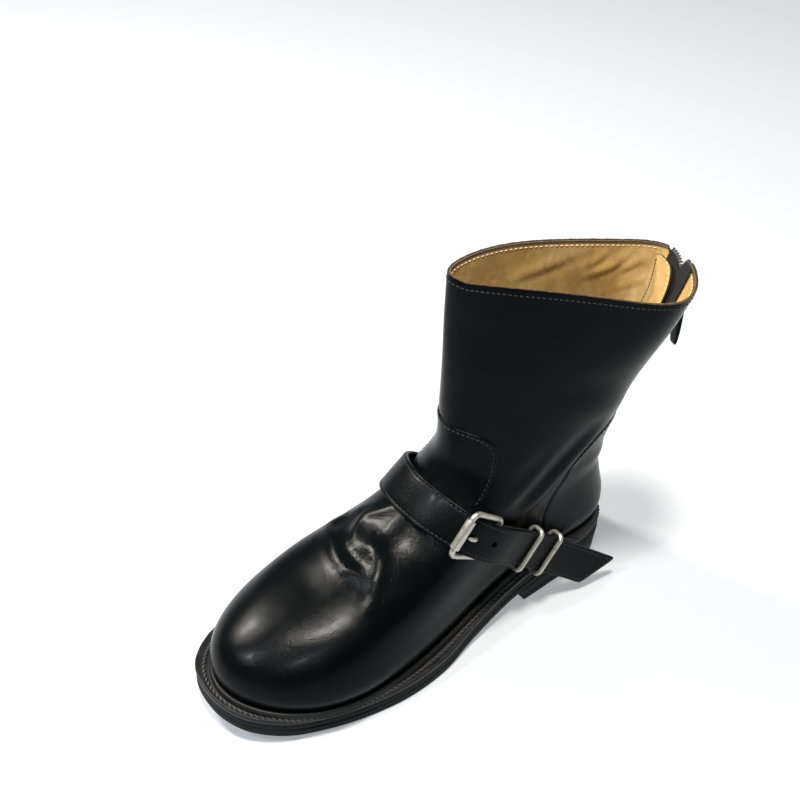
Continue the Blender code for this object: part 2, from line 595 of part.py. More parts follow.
def make_zip():
    """Tape, teeth, guard flap and slider on the back of the shaft."""
    tape_top = -WALL - TAPE_CLEAR
    rows = np.linspace(*TAPE_ROWS, 9)
    columns = np.linspace(-1, 1, 7)[None, :]
    offsets = TAPE_HALF * columns * np.ones((len(rows), 1))
    back_patch("zip_tape", rows, offsets, tape_top - TAPE_THICK, tape_top, ZIP_CLOTH)
    guard_top = tape_top - TAPE_THICK - CLEAR
    rows = np.linspace(*GUARD_ROWS, 9)
    round_top = 1 - GUARD_ROUND * smooth(rows, COLLAR_ROW - 0.6, COLLAR_ROW)
    offsets = GUARD_HALF * columns * round_top[:, None]
    back_patch("zip_guard", rows, offsets, guard_top - GUARD_THICK, guard_top, TAN_LEATHER)
    rows = np.linspace(*TEETH_ROWS, TEETH_COUNT)
    half = TEETH_HALF - TEETH_NOTCH * (np.arange(TEETH_COUNT) // 2 % 2)
    offsets = half[:, None] * np.array([[-1.0, 1.0]])
    back_patch("zip_teeth", rows, offsets, tape_top + CLEAR, -CLEAR, ZIP_METAL)
    rows = np.linspace(SLIDER_LOW, SLIDER_TOP, 6)
    half = SLIDER_HALF * (SLIDER_WAIST + (1 - SLIDER_WAIST) * np.abs(np.linspace(-1, 1, 6)))
    offsets = half[:, None] * np.array([[-1.0, -0.4, 0.4, 1.0]])
    back_patch("zip_slider", rows, offsets, 0.0, SLIDER_THICK, NICKEL)


def slider_frame():
    """The slider's middle on the shaft's surface, with its outward, upward and sideways unit vectors."""
    row = np.array([(SLIDER_LOW + SLIDER_TOP) / 2])
    above = row + 0.05
    base = on_last(zip_middle(row), row, 0.0)[0]
    out = on_last(zip_middle(row), row, 1.0)[0] - base
    up = on_last(zip_middle(above), above, 0.0)[0] - base
    up -= out * (up @ out)
    up /= np.linalg.norm(up)
    return base, out, up, np.cross(out, up)


def make_zip_pull():
    """The bail on the slider, and the pull tab that hangs straight down from it and swings about its bar."""
    base, out, up, side = slider_frame()
    turn = np.linspace(0, math.pi, 9)
    foot = SLIDER_THICK + CLEAR
    along = np.concatenate([[BAIL_HALF], BAIL_HALF * np.cos(turn), [-BAIL_HALF]])
    arch = BAIL_LEG + (BAIL_LIFT - foot - BAIL_LEG) * np.sqrt(np.sin(turn))
    height = foot + np.concatenate([[0.0], arch, [0.0]])
    path = base + up * along[:, None] + out * height[:, None]
    points, faces = tube(path, BAIL_WIRE / 2, 8, closed=False)
    add_solid("zip_bail", points, faces, NICKEL)
    axis_point = base + out * PULL_LIFT
    level_out = np.array([out[0], out[1], 0.0])
    level_out /= np.linalg.norm(level_out)
    level_side = np.array([level_out[1], -level_out[0], 0.0])
    down = np.array([0.0, 0.0, -1.0])
    below, half = PULL_SHAPE.T
    flat = axis_point + below[:, None, None] * down + (half[:, None] * PULL_COLUMNS)[..., None] * level_side
    outer, inner = flat + level_out * PULL_THICK / 2, flat - level_out * PULL_THICK / 2
    points, faces = shell(outer, inner, skip={(1, 1)})
    pivot = to_frame(axis_point)
    add_solid("zip_pull", points, faces, BLACK_LEATHER, origin=tuple(pivot))


clear_scene()
make_sole()
make_heel()
make_welt()
make_insole()
make_upper()
make_overlays()
make_instep_strap()
make_buckle_strap()
make_buckle()
make_keepers()
make_zip()
make_zip_pull()
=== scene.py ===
# %% [markdown]
# # A buckled leather boot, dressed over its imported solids
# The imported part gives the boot's true sizes: a last-shaped upper, a stitched sole, a strap with a roller
# buckle and a zip up the back. This lesson repeats the formulas of that part on finer grids, adds what a
# solid leaves out (folds, stitches, grain, a lining) and gives each piece its own material.

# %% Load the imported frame
import math

import bmesh
import bpy
import numpy as np
from mathutils import Matrix, Vector


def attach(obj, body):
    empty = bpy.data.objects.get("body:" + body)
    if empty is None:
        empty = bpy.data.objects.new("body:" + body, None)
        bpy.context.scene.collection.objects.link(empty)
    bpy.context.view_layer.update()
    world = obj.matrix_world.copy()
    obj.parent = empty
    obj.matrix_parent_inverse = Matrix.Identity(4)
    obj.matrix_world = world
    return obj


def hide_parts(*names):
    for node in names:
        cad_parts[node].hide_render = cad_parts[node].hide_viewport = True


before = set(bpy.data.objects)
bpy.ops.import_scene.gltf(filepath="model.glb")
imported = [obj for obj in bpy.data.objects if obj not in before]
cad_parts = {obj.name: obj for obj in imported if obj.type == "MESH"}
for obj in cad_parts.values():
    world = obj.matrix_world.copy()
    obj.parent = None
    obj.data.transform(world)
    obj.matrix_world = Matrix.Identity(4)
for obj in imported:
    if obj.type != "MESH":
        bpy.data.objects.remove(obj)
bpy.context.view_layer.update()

# %% [markdown]
# ## Where things are
# A shoemaker measures from the back of the heel and up from the floor, in millimetres, so the formulas do
# too: x to the outer side, s from heel to toe, z up. One function turns that into the scene's frame, whose
# origin lies on the floor under the middle of the boot.

# %% Boot millimetres to scene metres
MM = 0.001
CENTRE_X, CENTRE_S = 10.0, 144.2


def to_frame(points):
    """Boot coordinates (x, s, z) in millimetres to scene metres: (x - centre, centre - s, z) / 1000."""
    x, s, z = np.moveaxis(np.asarray(points, float), -1, 0)
    return np.stack([x - CENTRE_X, CENTRE_S - s, z], -1) * MM


# %% [markdown]
# ## Camera
# The photograph looks down on the boot's outer side from ahead. The camera's place was worked out from the
# sole's outline, whose length is taken as 300 millimetres. It is set by a position, a direction and a small
# roll, so that the picture keeps the photograph's own frame.

# %% Camera
CAMERA_AT = Vector((0.4187, -0.3409, 0.607))
CAMERA_FORWARD = Vector((-0.625, 0.471, -0.6225)).normalized()
CAMERA_ROLL = math.radians(0.9)
CAMERA_LENS, CAMERA_SENSOR = 55.1, 36.0

level_right = CAMERA_FORWARD.cross(Vector((0, 0, 1))).normalized()
level_up = level_right.cross(CAMERA_FORWARD)
right = math.cos(CAMERA_ROLL) * level_right + math.sin(CAMERA_ROLL) * level_up
up = math.cos(CAMERA_ROLL) * level_up - math.sin(CAMERA_ROLL) * level_right
camera_data = bpy.data.cameras.new("camera")
camera_data.lens, camera_data.sensor_width = CAMERA_LENS, CAMERA_SENSOR
camera = bpy.data.objects.new("camera", camera_data)
facing = Matrix((right, up, -CAMERA_FORWARD)).transposed().to_4x4()
camera.matrix_world = Matrix.Translation(CAMERA_AT) @ facing
bpy.context.scene.collection.objects.link(camera)
bpy.context.scene.camera = camera
print("camera at", tuple(round(v, 3) for v in CAMERA_AT))

# %% [markdown]
# ## Curves through a few sizes
# A maker's table has few rows. A Catmull-Rom curve passes through every row and is smooth between them, and
# an S-shaped step joins two levels without a kink.


# %% Smooth curves
def smooth(value, low, high):
    """0 below low, 1 above high, and 3t^2 - 2t^3 between."""
    share = np.clip((value - low) / (high - low), 0, 1)
    return share * share * (3 - 2 * share)


def through(table, at):
    """Catmull-Rom curve through a table's rows, read at real row numbers (any shape of array)."""
    at = np.asarray(at, float)
    flat = np.clip(at.ravel(), 0, len(table) - 1 - 1e-9)
    row = np.floor(flat).astype(int)
    f = (flat - row)[:, None]
    ends = np.vstack([2 * table[0] - table[1], table, 2 * table[-1] - table[-2]])
    a, b, c, d = ends[row], ends[row + 1], ends[row + 2], ends[row + 3]
    found = 0.5 * (2 * b + (c - a) * f + (2 * a - 5 * b + 4 * c - d) * f**2 + (3 * b - a - 3 * c + d) * f**3)
    return found.reshape(*at.shape, -1)


def unit(vectors):
    """Vectors divided by their length."""
    return vectors / np.linalg.norm(vectors, axis=-1, keepdims=True)


def measured(points):
    """Length run along a polyline at each of its points."""
    return np.concatenate([[0], np.cumsum(np.linalg.norm(np.diff(points, axis=0), axis=1))])


# %% [markdown]
# ## Grids into meshes
# Every new piece is a grid of points: rows and columns of a surface's two parameters. Three builders cover
# them all: a wall between two grids, a skin over rings with both ends closed, and a ring of rings. Faces are
# made as whole index arrays, doubled points along seams are merged, and normals are turned outwards.


# %% Faces of grids
def grid_faces(rows, columns, close_rows=False, close_columns=False):
    """Quads (r, c), (r, c+1), (r+1, c+1), (r+1, c) of a grid whose points are counted row by row."""
    this = columns * np.arange(rows if close_rows else rows - 1)[:, None]
    after = (this + columns) % (rows * columns)
    c = np.arange(columns if close_columns else columns - 1)
    beside = (c + 1) % columns
    return np.stack([this + c, this + beside, after + beside, after + c], -1).reshape(-1, 4)


def wall(outer, inner, side_rows=None):
    """Points, quads and rim mask of the closed wall between two grids. Rims join the grids' borders; the
    mask side_rows says at which rows the first and last columns are a free edge."""
    rows, columns = outer.shape[:2]
    count = rows * columns
    front = grid_faces(rows, columns)
    index = np.arange(count).reshape(rows, columns)
    free = np.ones(rows - 1, bool) if side_rows is None else side_rows
    a = np.concatenate([index[0, :-1], index[-1, :-1], index[:-1, 0][free], index[:-1, -1][free]])
    b = np.concatenate([index[0, 1:], index[-1, 1:], index[1:, 0][free], index[1:, -1][free]])
    rims = np.stack([a, b, b + count, a + count], -1)
    points = np.concatenate([outer.reshape(-1, 3), inner.reshape(-1, 3)])
    quads = np.concatenate([front, front[:, ::-1] + count, rims])
    rim_mask = np.arange(len(quads)) >= 2 * len(front)
    return points, quads, rim_mask


def skinned(rings, ring_of_rings=False):
    """Points and quads of a skin over rings of equal size. Ends are closed by rungs between point k and its
    partner on the other side of the ring, size - 1 - k; a ring of rings joins its last ring to its first."""
    rings = np.asarray(rings)
    levels, size = rings.shape[:2]
    quads = [grid_faces(levels, size, close_rows=ring_of_rings, close_columns=True)]
    if not ring_of_rings:
        k = np.arange(size // 2 - 1)
        rungs = np.stack([k, k + 1, size - 2 - k, size - 1 - k], -1)
        quads += [rungs, rungs + (levels - 1) * size]
    return rings.reshape(-1, 3), np.concatenate(quads)


# %% Meshes into pieces
MERGE = 0.002 * MM


def add_piece(name, points, quads, finish, replaces=(), body="boot", edge=None, sharp=50):
    """A mesh object from boot points and quads: doubles merged, normals outwards, riding on a body. An edge
    is a second finish and the mask of the quads that get it."""
    mesh = bpy.data.meshes.new(name)
    mesh.vertices.add(len(points))
    mesh.vertices.foreach_set("co", to_frame(points).astype(np.float32).ravel())
    mesh.loops.add(quads.size)
    mesh.loops.foreach_set("vertex_index", quads.astype(np.int32).ravel())
    mesh.polygons.add(len(quads))
    mesh.polygons.foreach_set("loop_start", np.arange(0, quads.size, 4, dtype=np.int32))
    mesh.materials.append(finish)
    if edge is not None:
        mesh.materials.append(edge[0])
        mesh.polygons.foreach_set("material_index", edge[1].astype(np.int32))
    mesh.update(calc_edges=True)
    shape = bmesh.new()
    shape.from_mesh(mesh)
    bmesh.ops.remove_doubles(shape, verts=shape.verts, dist=MERGE)
    bmesh.ops.recalc_face_normals(shape, faces=shape.faces)
    shape.to_mesh(mesh)
    shape.free()
    mesh.shade_smooth()
    mesh.set_sharp_from_angle(angle=math.radians(sharp))
    piece = bpy.data.objects.new(name, mesh)
    bpy.context.scene.collection.objects.link(piece)
    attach(piece, body)
    if replaces:
        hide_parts(*replaces)
    triangles = len(mesh.loops) - 2 * len(mesh.polygons)
    print(f"{name}: {len(mesh.vertices)} points, {triangles} triangles")


# %% [markdown]
# ## Materials: a small language for shaders
# A material is a sheet of nodes, but formulas are easier to read than wires. Value wraps one output socket
# and adds a Math node for each operator; Finish holds one material and has a single method for every other
# node. What is the same all over a surface is set straight on the shader.


# %% Values and finishes
class Value:
    """An output socket that can be added, multiplied and so on; each operator adds a Math node."""

    def __init__(self, finish, socket):
        self.finish, self.socket = finish, socket

    def _math(self, operation, a, b):
        return self.finish.node("ShaderNodeMath", {"operation": operation}, {0: a, 1: b})

    def __add__(self, other):
        return self._math("ADD", self, other)

    def __sub__(self, other):
        return self._math("SUBTRACT", self, other)

    def __rsub__(self, other):
        return self._math("SUBTRACT", other, self)

    def __mul__(self, other):
        return self._math("MULTIPLY", self, other)

    def __abs__(self):
        return self._math("ABSOLUTE", self, 0.0)

    __radd__, __rmul__ = __add__, __mul__

    def between(self, low, high):
        """0 at low, 1 at high, smooth between."""
        inputs = {"Value": self, "From Min": low, "From Max": high}
        return self.finish.node("ShaderNodeMapRange", {"interpolation_type": "SMOOTHSTEP"}, inputs)


class Finish:
    """One material: its Principled shader, object coordinates, and node() for any other node."""

    def __init__(self, name, **constants):
        self.material = bpy.data.materials.new(name)
        self.material.use_nodes = True
        self.tree = self.material.node_tree
        self.shader = self.tree.nodes["Principled BSDF"]
        for words, value in constants.items():
            self.shader.inputs[words.replace("_", " ")].default_value = value
        self.place = self.node("ShaderNodeTexCoord", output="Object")

    def node(self, kind, settings=None, inputs=None, output=0):
        """Adds a node: settings are its own attributes, inputs values or links by socket name or number."""
        made = self.tree.nodes.new(kind)
        for name, value in (settings or {}).items():
            setattr(made, name, value)
        for key, value in (inputs or {}).items():
            if isinstance(value, Value):
                self.tree.links.new(value.socket, made.inputs[key])
            else:
                made.inputs[key].default_value = value
        return Value(self, made.outputs[output])

    def feed(self, **sockets):
        """Links values to the shader's sockets."""
        for words, value in sockets.items():
            self.tree.links.new(value.socket, self.shader.inputs[words.replace("_", " ")])

    def stretched(self, scale, turn=(0.0, 0.0, 0.0)):
        """Object coordinates turned and then stretched, for streaks."""
        return self.node("ShaderNodeMapping", None, {"Vector": self.place, "Rotation": turn, "Scale": scale})

    def noise(self, scale, detail=3.0, roughness=0.5, at=None):
        """Noise from 0 to 1 with its features 1 / scale metres across."""
        inputs = {"Vector": at or self.place, "Scale": scale, "Detail": detail, "Roughness": roughness}
        return self.node("ShaderNodeTexNoise", None, inputs)

    def cells(self, scale):
        """Distance to the nearest of scattered points, scale of them to the metre."""
        return self.node("ShaderNodeTexVoronoi", None, {"Vector": self.place, "Scale": scale})

    def wave(self, direction, scale, at=None):
        """Stripes from 0 to 1 across a direction."""
        inputs = {"Vector": at or self.place, "Scale": scale}
        return self.node("ShaderNodeTexWave", {"bands_direction": direction}, inputs, output=1)

    def mix(self, share, low, high):
        """A colour between two colours."""
        return self.node("ShaderNodeMix", {"data_type": "RGBA"}, {0: share, 6: low, 7: high}, output=2)

    def bump(self, height, distance, strength=1.0, under=None):
        """A normal from a height field whose full range stands distance metres high."""
        inputs = {"Height": height, "Distance": distance, "Strength": strength}
        if under is not None:
            inputs["Normal"] = under
        return self.node("ShaderNodeBump", None, inputs)


# %% [markdown]
# ## Black calf
# The upper is smooth black calf, waxed and brushed by hand. Close up it has a very fine grain, pores and
# short brush marks that scatter a highlight into soft streaks; from a step away it is a dark half gloss that
# is duller in patches. Grain and brush marks are bump, and the patches are roughness. Its mirror strength is
# set low, so that the pale ground stays faint in it and only the lamps show as highlights.

# %% Black calf finish
BLACK, WORN_BLACK = (0.0007, 0.0012, 0.0014, 1.0), (0.0014, 0.0021, 0.0023, 1.0)


def black_calf(name, gloss, streak_turn):
    """Black leather: colour from slow noise, roughness = 1 - gloss + patches, bump of cells and streaks."""
    finish = Finish(name, Specular_IOR_Level=0.05, Coat_Roughness=0.16, Coat_IOR=1.3, Coat_Weight=0.04)
    patches = finish.noise(26.0, 4.0, 0.6)
    grain = finish.cells(1000.0)
    pores = finish.noise(2600.0, 2.0)
    streaks = finish.noise(1100.0, 3.0, 0.65, at=finish.stretched((1.0, 0.22, 1.0), streak_turn))
    finish.feed(
        Base_Color=finish.mix(patches.between(0.35, 0.75), BLACK, WORN_BLACK),
        Roughness=(1.0 - gloss) + 0.12 * (patches - 0.5) + 0.16 * (streaks - 0.5),
    )
    soft = finish.bump(patches, 0.0003, 0.4)
    brushed = finish.bump(streaks, 0.00013, 0.8, under=soft)
    finish.feed(Normal=finish.bump(grain + 0.6 * pores, 0.00011, 0.7, under=brushed))
    return finish.material


CALF = black_calf("black_calf", 0.80, (0.5, 0.2, 0.9))
STRAP_CALF = black_calf("strap_calf", 0.69, (0.0, 0.0, 0.2))
print("finishes:", CALF.name, STRAP_CALF.name)

# %% [markdown]
# ## Tan lining, raw edges and thread
# The lining is undyed calf: warm tan with paler and browner clouds, fine wrinkles whose creases are painted
# darker as shade, and a dry surface. Where leather is cut it shows a rough dark-brown core, and its flesh
# side is paler. Thread is twisted, so its roughness is high and a fine stripe of painted shade and highlight
# runs around it.

# %% Tan lining, raw edge and thread finishes
TAN, PALE_TAN, BROWN_TAN = (0.330, 0.208, 0.068, 1.0), (0.430, 0.300, 0.126, 1.0), (0.190, 0.102, 0.030, 1.0)


def tan_lining():
    """Tan leather: two slow noises mix pale and brown clouds into it, wrinkles are ridged noise, and painted
    shade darkens their creases.
    """
    finish = Finish("tan_lining", Specular_IOR_Level=0.35)
    clouds = finish.noise(34.0, 4.0, 0.6)
    stains = finish.noise(14.0, 3.0)
    fine = finish.cells(1100.0)
    wrinkle = finish.noise(60.0, 3.0, 0.55, at=finish.stretched((1.0, 0.7, 0.35), (0.3, 0.5, 0.2)))
    crease_and_painted_shade = 1.0 - abs(wrinkle - 0.5).between(0.0, 0.10)
    pale = finish.mix(clouds.between(0.38, 0.72), TAN, PALE_TAN)
    # brown stains and painted shade along the wrinkles' creases both darken the tan
    finish.feed(
        Base_Color=finish.mix(0.55 * stains.between(0.50, 0.78) + 0.25 * crease_and_painted_shade, pale, BROWN_TAN),
        Roughness=0.58 + 0.2 * (clouds - 0.5),
    )
    creased = finish.bump(1.0 - crease_and_painted_shade, 0.0006, 0.35)
    finish.feed(Normal=finish.bump(fine, 0.00012, 0.5, under=creased))
    return finish.material


def raw_edge(name, dark, light):
    """Cut leather: brown fibres, from fast noise."""
    finish = Finish(name, Specular_IOR_Level=0.25)
    fibres = finish.noise(1500.0, 3.0, 0.7)
    colour = finish.mix(fibres.between(0.35, 0.75), dark, light)
    finish.feed(Base_Color=colour, Roughness=0.75 + 0.2 * fibres, Normal=finish.bump(fibres, 0.0004, 0.6))
    return finish.material


def thread(name, dark, light):
    """Twisted thread: slanting stripes from a fast wave through object space, painted darker and lighter as
    the shade and highlight of the twist.
    """
    finish = Finish(name, Specular_IOR_Level=0.3, Roughness=0.62)
    twist = finish.wave("DIAGONAL", 900.0, at=finish.stretched((1.0, 1.0, 1.0), (0.6, 0.5, 0.4)))
    # the twist's dark stripes are painted shade and its light stripes painted highlight
    finish.feed(Base_Color=finish.mix(twist, dark, light), Normal=finish.bump(twist, 0.00012, 0.5))
    return finish.material


TAN_LEATHER = tan_lining()
RAW_EDGE = raw_edge("raw_edge", (0.008, 0.006, 0.005, 1.0), (0.050, 0.034, 0.020, 1.0))
FLESH_SIDE = raw_edge("flesh_side", (0.040, 0.024, 0.011, 1.0), (0.140, 0.090, 0.043, 1.0))
# each thread's dark and light colours are the painted shade and highlight of its twist
BLACK_THREAD = thread("black_thread", (0.003, 0.003, 0.003, 1.0), (0.012, 0.012, 0.013, 1.0))
WELT_THREAD = thread("welt_thread", (0.006, 0.006, 0.006, 1.0), (0.045, 0.044, 0.042, 1.0))
TAN_THREAD = thread("tan_thread", (0.30, 0.21, 0.10, 1.0), (0.60, 0.48, 0.30, 1.0))
print("finishes:", TAN_LEATHER.name, RAW_EDGE.name, BLACK_THREAD.name, TAN_THREAD.name)

# %% [markdown]
# ## Sole, metal and cloth
# The sole's side is black rubber, matt and slightly dusty, with small pale specks, and the welt is worn pale
# where it stands proud. The hardware is brushed nickel, darkened in patches, and the zip's tape is a fine
# twill.

# %% Sole, welt, metal and cloth finishes
def sole_rubber():
    """Matt rubber: dusty clouds, and specks where a fast noise passes a threshold."""
    finish = Finish("sole_rubber", Specular_IOR_Level=0.14)
    dust = finish.noise(60.0, 5.0, 0.65)
    specks = finish.noise(520.0, 2.0).between(0.70, 0.78)
    base = finish.mix(dust.between(0.35, 0.8), (0.0020, 0.0025, 0.0027, 1.0), (0.0060, 0.0063, 0.0063, 1.0))
    finish.feed(
        Base_Color=finish.mix(0.35 * specks, base, (0.10, 0.10, 0.095, 1.0)),
        Roughness=0.52 + 0.25 * dust,
        Normal=finish.bump(dust + 0.35 * finish.noise(1400.0, 2.0), 0.0003, 0.35),
    )
    return finish.material


def welt_leather():
    """Waxed welt leather: darker and glossier than the sole, with worn pale specks on what stands proud."""
    finish = Finish("welt_leather", Specular_IOR_Level=0.20)
    wax = finish.noise(150.0, 4.0, 0.6)
    proud = finish.node("ShaderNodeNewGeometry", output="Pointiness").between(0.53, 0.62)
    specks = finish.noise(700.0, 3.0, 0.7).between(0.56, 0.70)
    base = finish.mix(wax, (0.0020, 0.0024, 0.0026, 1.0), (0.0062, 0.0064, 0.0063, 1.0))
    finish.feed(
        Base_Color=finish.mix(0.55 * proud * specks, base, (0.30, 0.28, 0.25, 1.0)),
        Roughness=0.36 + 0.28 * wax,
        Normal=finish.bump(wax + 0.5 * finish.noise(1600.0, 2.0), 0.0003, 0.5),
    )
    return finish.material


def nickel(name, light, dark, roughness):
    """Antique nickel: brushed streaks in roughness and bump, and dark patches of tarnish."""
    finish = Finish(name, Metallic=0.8)
    tarnish = finish.noise(210.0, 4.0, 0.6)
    brush = finish.noise(1500.0, 2.0, 0.6, at=finish.stretched((0.2, 1.0, 1.0), (0.4, 0.3, 0.6)))
    finish.feed(
        Base_Color=finish.mix(tarnish.between(0.42, 0.80), light, dark),
        Roughness=roughness + 0.22 * (tarnish - 0.4) + 0.12 * (brush - 0.5),
        Normal=finish.bump(brush, 0.00006, 0.5),
    )
    return finish.material


def zip_cloth():
    """Black twill: level stripes times slanting ones."""
    finish = Finish("zip_cloth", Specular_IOR_Level=0.2, Roughness=0.85)
    slant = finish.stretched((1.0, 1.0, 1.0), (0.0, 0.7, 0.3))
    weave = finish.wave("Z", 420.0) * finish.wave("X", 420.0, at=slant)
    finish.feed(
        Base_Color=finish.mix(weave, (0.004, 0.004, 0.004, 1.0), (0.020, 0.020, 0.021, 1.0)),
        Normal=finish.bump(weave, 0.0003, 0.6),
    )
    return finish.material


RUBBER, WELT_LEATHER, ZIP_CLOTH = sole_rubber(), welt_leather(), zip_cloth()
# near-black painted shade for the inside of the punched hole
HOLE_SHADE_BLACK = (0.0005, 0.0005, 0.0005, 1.0)
HOLE_PAINTED_SHADE = Finish("hole_painted_shade", Base_Color=HOLE_SHADE_BLACK, Roughness=0.8, Specular_IOR_Level=0.0).material
NICKEL = nickel("antique_nickel", (0.44, 0.42, 0.37, 1.0), (0.17, 0.16, 0.14, 1.0), 0.27)
ZIP_METAL = nickel("zip_metal", (0.16, 0.155, 0.145, 1.0), (0.03, 0.03, 0.028, 1.0), 0.30)
print("finishes:", RUBBER.name, WELT_LEATHER.name, ZIP_CLOTH.name, NICKEL.name, ZIP_METAL.name)

# %% [markdown]
# ## The last
# A boot is pulled over a last, a wooden foot. Here it is a stack of rings from the feather line, where the
# upper meets the welt, to the collar. Each ring has a back and a front point, half widths at four stations,
# a share of the sole's own curve, a twist and a sideways shift. Sculpting would give the same form once;
# a formula gives it to every piece that has to lie on it.

# %% Sole line and rings
SOLE_LENGTH, HEEL_SEAT, BALL_HEIGHT, TOE_SPRING = 300.0, 33.0, 18.5, 11.5
ARCH_START, ARCH_END, SPRING_START = 62.0, 172.0, 212.0
BACK_S, BACK_Z, FRONT_S, FRONT_Z, WIDTHS, FOLLOW, TWIST, SHIFT = 0, 1, 2, 3, slice(4, 8), 8, 9, 10
RINGS = np.array([
    # back_s back_z front_s front_z heel waist ball toe follow twist shift
    (6.0, 28.0, 290.0, 22.9, 27.0, 31.0, 46.0, 37.0, 1.00, 0, 3),
    (3.5, 43.0, 293.5, 39.0, 32.0, 35.0, 51.5, 41.5, 1.00, 0, 3),
    (4.0, 55.0, 287.0, 53.0, 32.0, 34.5, 50.0, 39.0, 0.80, 0, 3),
    (7.0, 66.0, 267.0, 63.0, 31.5, 34.0, 46.5, 35.0, 0.55, 0, 3),
    (9.5, 76.0, 239.0, 70.0, 31.0, 33.5, 41.5, 31.0, 0.30, 0, 3),
    (11.5, 87.0, 208.0, 78.0, 30.5, 34.0, 37.5, 27.0, 0.15, 0, 3),
    (12.0, 98.0, 175.0, 90.0, 30.5, 34.5, 35.5, 24.0, 0.05, 1, 3.5),
    (12.5, 110.0, 145.5, 108.0, 29.5, 35.5, 35.0, 22.5, 0.0, 1.5, 4.5),
    (12.0, 127.0, 131.5, 131.0, 28.0, 35.0, 33.5, 21.0, 0.0, 6, 7.5),
    (9.0, 150.0, 130.0, 157.0, 26.5, 33.5, 32.5, 20.5, 0.0, 14, 10.5),
    (2.0, 178.0, 129.5, 184.0, 26.0, 32.5, 31.0, 19.0, 0.0, 21, 14.5),
    (-6.5, 208.0, 129.5, 212.0, 28.0, 32.0, 29.0, 17.0, 0.0, 27, 18),
    (-14.0, 236.0, 128.5, 240.0, 30.0, 32.0, 28.0, 16.0, 0.0, 31, 20),
])
STATIONS = np.array([0.12, 0.38, 0.68, 0.90])
COLLAR_ROW = len(RINGS) - 1.0
WAVE_HEIGHT, WAVE_START, WAVE_SPAN, WAVE_ROW = 4.5, 30.0, 150.0, 9.0
INNER_WAVE_HEIGHT, INNER_WAVE_START, INNER_WAVE_SPAN = 2.0, 5.0, 115.0


def feather(s):
    """Feather line: level at the heel, an S-shaped drop through the arch, then a rise as distance squared."""
    toe = np.clip((s - SPRING_START) / (SOLE_LENGTH - SPRING_START), 0, 1)
    return HEEL_SEAT + (BALL_HEIGHT - HEEL_SEAT) * smooth(s, ARCH_START, ARCH_END) + TOE_SPRING * toe**2


def last_surface(theta, row):
    """Plain last at angle theta (0 at the toe, positive outwards) and ring row: q = (1 + cos theta) / 2 runs
    from back to front, half width = sin theta times the cubic through the stations, height from the sole's
    curve to the ring's straight line by the share FOLLOW."""
    ring = through(RINGS, row)
    q = (1 + np.cos(theta)) / 2
    half = np.zeros_like(q)
    for i, station in enumerate(STATIONS):
        weight = np.prod([(q - other) / (station - other) for other in np.delete(STATIONS, i)], axis=0)
        half += weight * ring[..., WIDTHS][..., i] / (2 * math.sqrt(station * (1 - station)))
    x = half * np.sin(theta)
    back_s, front_s, back_z, front_z = (ring[..., c] for c in (BACK_S, FRONT_S, BACK_Z, FRONT_Z))
    s = back_s + (front_s - back_s) * q
    curved = feather(s) + (back_z - feather(back_s)) * (1 - q) + (front_z - feather(front_s)) * q
    z = ring[..., FOLLOW] * curved + (1 - ring[..., FOLLOW]) * (back_z + (front_z - back_z) * q)
    share = np.clip((np.degrees(theta) - WAVE_START) / WAVE_SPAN, 0, 1)
    rise = np.clip((row - WAVE_ROW) / (COLLAR_ROW - WAVE_ROW), 0, 1) ** 2
    inner_share = np.clip((-np.degrees(theta) - INNER_WAVE_START) / INNER_WAVE_SPAN, 0, 1)
    wave = WAVE_HEIGHT * np.sin(2 * math.pi * share) + INNER_WAVE_HEIGHT * np.sin(math.pi * inner_share)
    z = z + wave * rise
    turn, middle = np.radians(ring[..., TWIST]), (back_s + front_s) / 2
    across = x * np.cos(turn) - (s - middle) * np.sin(turn) + ring[..., SHIFT]
    ahead = middle + (s - middle) * np.cos(turn) + x * np.sin(turn)
    return np.stack([across, ahead, z], -1)


toe_tip = last_surface(np.array([0.0]), np.array([1.0]))[0]
print("toe of the upper, in millimetres from the heel:", round(float(toe_tip[1]), 1))
